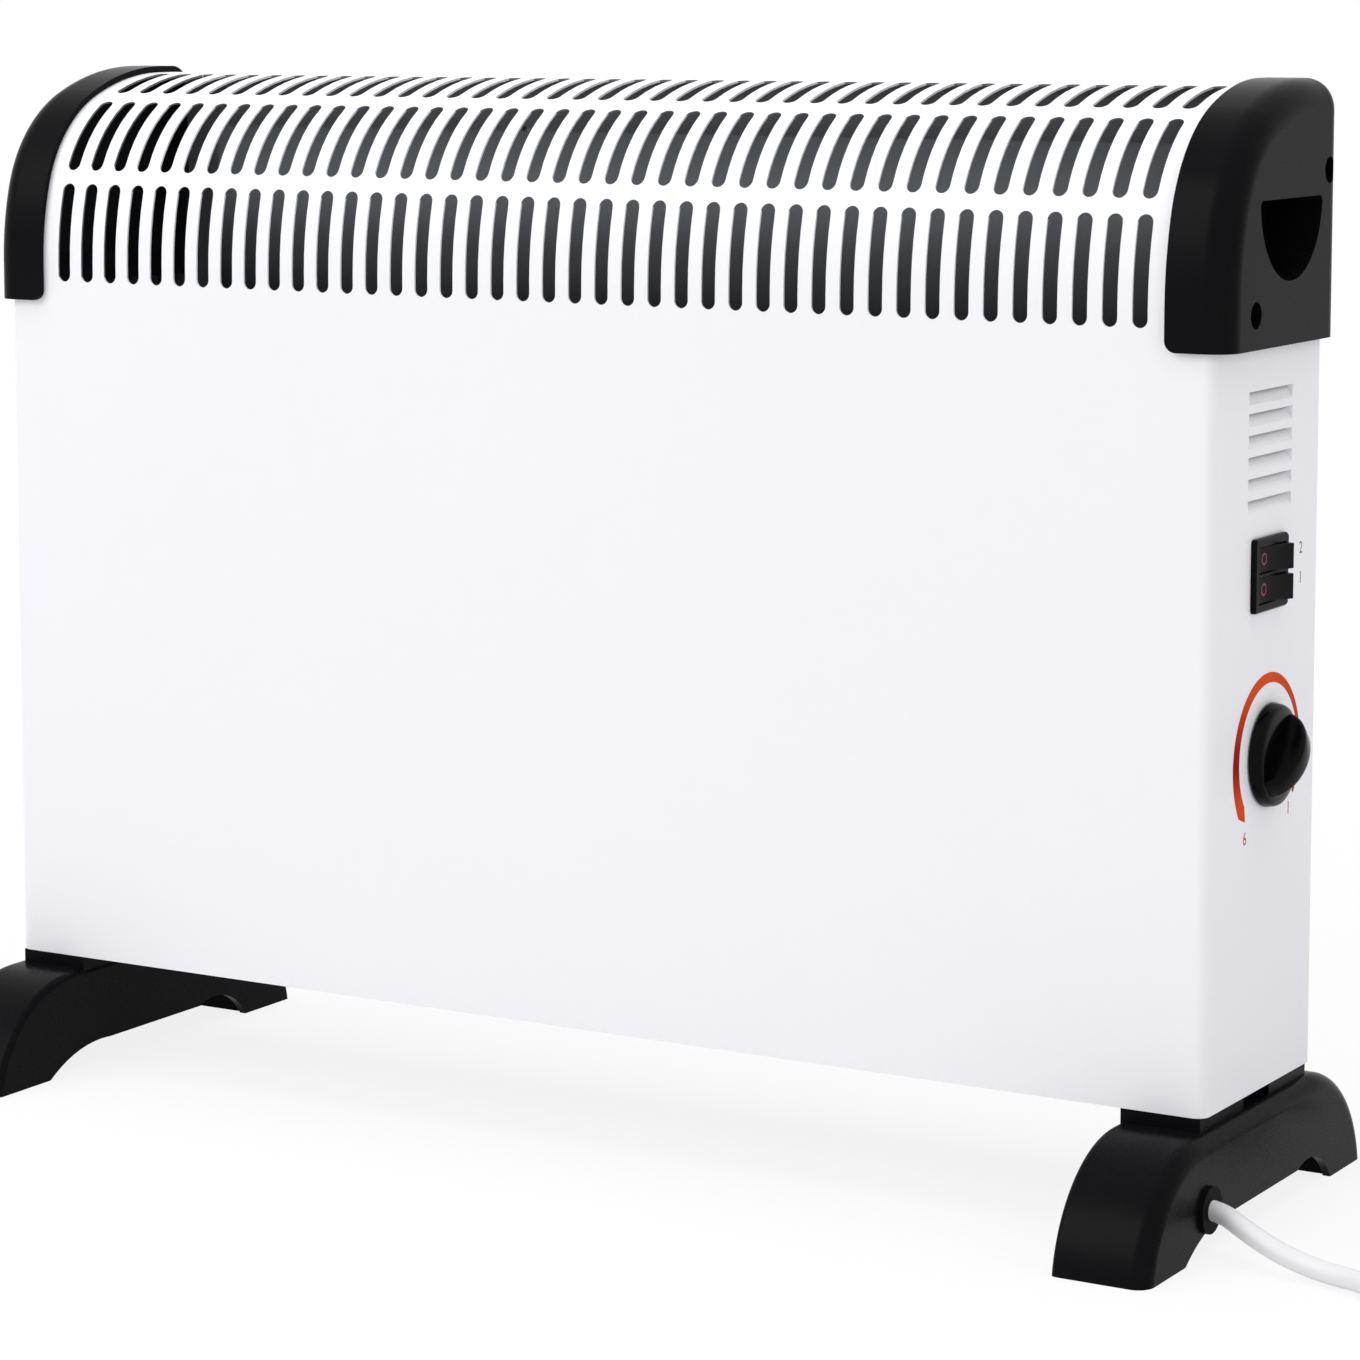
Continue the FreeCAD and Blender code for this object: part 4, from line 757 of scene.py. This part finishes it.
# Knob: a glossy black ABS moulding pushed onto the shaft, a hollow disc with a soft rim and a
# half-oval grip across it that also points to the setting.
knob_low, knob_high = (Vector(corner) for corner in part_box("thermostat_knob"))
knob_r = (knob_high.y - knob_low.y) / 2
knob_axis = Vector((knob_low.x, knob_low.y + knob_r, knob_low.z + knob_r))
rim = [(0.0, 0.0018), (knob_r - 0.0018, 0.0018), (knob_r - 0.0018, 0.0), (knob_r - 0.0002, 0.0),
       (knob_r, 0.0003), (knob_r - 0.0005, 0.0029), (knob_r - 0.0008, 0.0036), (knob_r - 0.0015, 0.0041),
       (knob_r - 0.0031, 0.0044), (knob_r / 2, 0.0049), (0.0, 0.0052)]
round_steps = 72
shape = bmesh.new()
rings = []
for r, x in rim:
    if r == 0.0:
        rings.append([shape.verts.new(knob_axis + Vector((x, 0.0, 0.0)))] * round_steps)
        continue
    ring = []
    for i in range(round_steps):
        a = 2 * math.pi * i / round_steps
        ring.append(shape.verts.new(knob_axis + Vector((x, r * math.cos(a), r * math.sin(a)))))
    rings.append(ring)
for one, two in zip(rings, rings[1:]):
    for i in range(round_steps):
        j = (i + 1) % round_steps
        corners = list(dict.fromkeys((one[i], two[i], two[j], one[j])))
        shape.faces.new(corners)
grip_half, grip_thick, grip_round, grip_foot = 0.0156, 0.0084, 0.0016, 0.0026
grip_rise = knob_high.x - knob_low.x - grip_foot
grip_along = Vector((0.0, math.cos(math.radians(45.0)), math.sin(math.radians(45.0))))
grip_across = Vector((0.0, -grip_along.z, grip_along.y))
grip_steps = 40
sections = []
for i in range(grip_steps + 1):
    a = math.pi * i / grip_steps
    rise = Vector((grip_foot + grip_rise * math.sin(a), 0.0, 0.0))
    spot = knob_axis + grip_along * (grip_half * math.cos(a)) + rise
    out = (grip_along * (math.cos(a) / grip_half) + Vector((math.sin(a) / grip_rise, 0.0, 0.0))).normalized()
    section = []
    for turn in (180, 150, 120, 90, 90, 60, 30, 0):
        b = math.radians(turn)
        wide = math.copysign(grip_thick / 2 - grip_round, 90.5 - turn if turn != 90 else len(section) - 3.5)
        edge = grip_across * (wide + grip_round * math.cos(b)) + out * (grip_round * (math.sin(b) - 1.0))
        section.append(shape.verts.new(spot + edge))
    sections.append(section)
for one, two in zip(sections, sections[1:]):
    for i in range(7):
        shape.faces.new((one[i], one[i + 1], two[i + 1], two[i]))
shape.faces.new([s[0] for s in sections])
shape.faces.new([s[-1] for s in sections])
shape.faces.new(sections[0] + sections[-1][::-1])
mesh = closed_mesh("polished_knob", shape)
mesh.materials.append(gloss_black)
smooth(mesh, 35.0)
polished_knob = link_object("polished_knob", mesh)
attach(polished_knob, "thermostat_knob")
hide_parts("thermostat_knob")


# Dial print: a curved wedge printed round the knob in orange and deep red, thin at the low
# end and broad at the high end, with a plain number at each end and beside each rocker.
dial_y, dial_z, dial_r, dial_x = 0.0038, 0.1582, 0.027, 0.25
low_end, high_end, thin, broad, tip, ink_film = -35.0, 216.0, 0.0014, 0.0058, 10.0, 0.00006


def dial_ink():
    # Screen-printing ink: orange that runs into red at the middle of the left side and at the low end
    material, tree = new_material("orange_and_red_printing_ink")
    spot = add(tree, "ShaderNodeSeparateXYZ", {0: add(tree, "ShaderNodeTexCoord").outputs["Object"]})
    across = add(tree, "ShaderNodeMath", {0: spot.outputs["Y"], 1: dial_y}, operation="SUBTRACT")
    up = add(tree, "ShaderNodeMath", {0: spot.outputs["Z"], 1: dial_z}, operation="SUBTRACT")
    angle = add(tree, "ShaderNodeMath", {0: up.outputs[0], 1: across.outputs[0]}, operation="ARCTAN2")
    share = add(tree, "ShaderNodeMapRange",
                {"Value": angle.outputs[0], "From Min": -math.pi, "From Max": math.pi})
    tones = ((-180, "#8a0c06"), (-150, "#d8480f"), (-35, "#96240f"), (30, "#c23a10"), (90, "#dc4e12"),
             (130, "#d04410"), (170, "#920f06"))
    ink = colour_ramp(tree, share.outputs[0], [((degrees + 180) / 360, colour) for degrees, colour in tones])
    surface(tree, {"Base Color": ink, "Roughness": 0.6, "IOR": 1.2})
    return material


shape = bmesh.new()
steps = 72
rails = []
for i in range(steps + 1):
    share = i / steps
    a = math.radians(low_end + (high_end - low_end) * share)
    half = (thin + (broad - thin) * share) / 2
    out = Vector((0.0, math.cos(a), math.sin(a)))
    middle = Vector((dial_x, dial_y, dial_z)) + out * dial_r
    film = Vector((ink_film, 0.0, 0.0))
    rails.append([shape.verts.new(p) for p in (middle - out * half, middle + out * half,
                                               middle + out * half + film, middle - out * half + film)])
for one, two in zip(rails, rails[1:]):
    for i in range(4):
        j = (i + 1) % 4
        shape.faces.new((one[i], two[i], two[j], one[j]))
a = math.radians(high_end + tip)
point = Vector((dial_x, dial_y + dial_r * math.cos(a), dial_z + dial_r * math.sin(a)))
tips = [shape.verts.new(point), shape.verts.new(point + Vector((ink_film, 0.0, 0.0)))]
last = rails[-1]
shape.faces.new((last[0], last[1], tips[0]))
shape.faces.new((last[3], tips[1], last[2]))
shape.faces.new((last[1], last[2], tips[1], tips[0]))
shape.faces.new((last[0], tips[0], tips[1], last[3]))
shape.faces.new(rails[0])
wedge = closed_mesh("dial_wedge", shape)
wedge.materials.append(dial_ink())
dial_wedge = link_object("dial_wedge", wedge)
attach(dial_wedge, "heater")

orange_ink = finish("orange_printing_ink", "#c04a2c", "#b04024", 0.6, 0.3, 0.004, 2.0, ior=1.2)
grey_ink = finish("dark_grey_printing_ink", "#5a5b62", "#505158", 0.45, 0.3, 0.004, 2.0)
dial_number, switch_number, beside_switch = 0.0045, 0.0042, 0.0300
numbers = (("1", dial_number, 0.0225, 0.1375, orange_ink), ("6", dial_number, -0.0150, 0.1330, orange_ink),
           ("2", switch_number, beside_switch, 0.2264, grey_ink),
           ("1", switch_number, beside_switch, 0.2161, grey_ink))
for i, (sign, height, y, z, ink) in enumerate(numbers):
    spot = on_face("front_shell", (beyond_wing, y, z), (-1, 0, 0))
    printed("printed_number_%d" % (i + 1), sign, height, spot, ink, "heater")
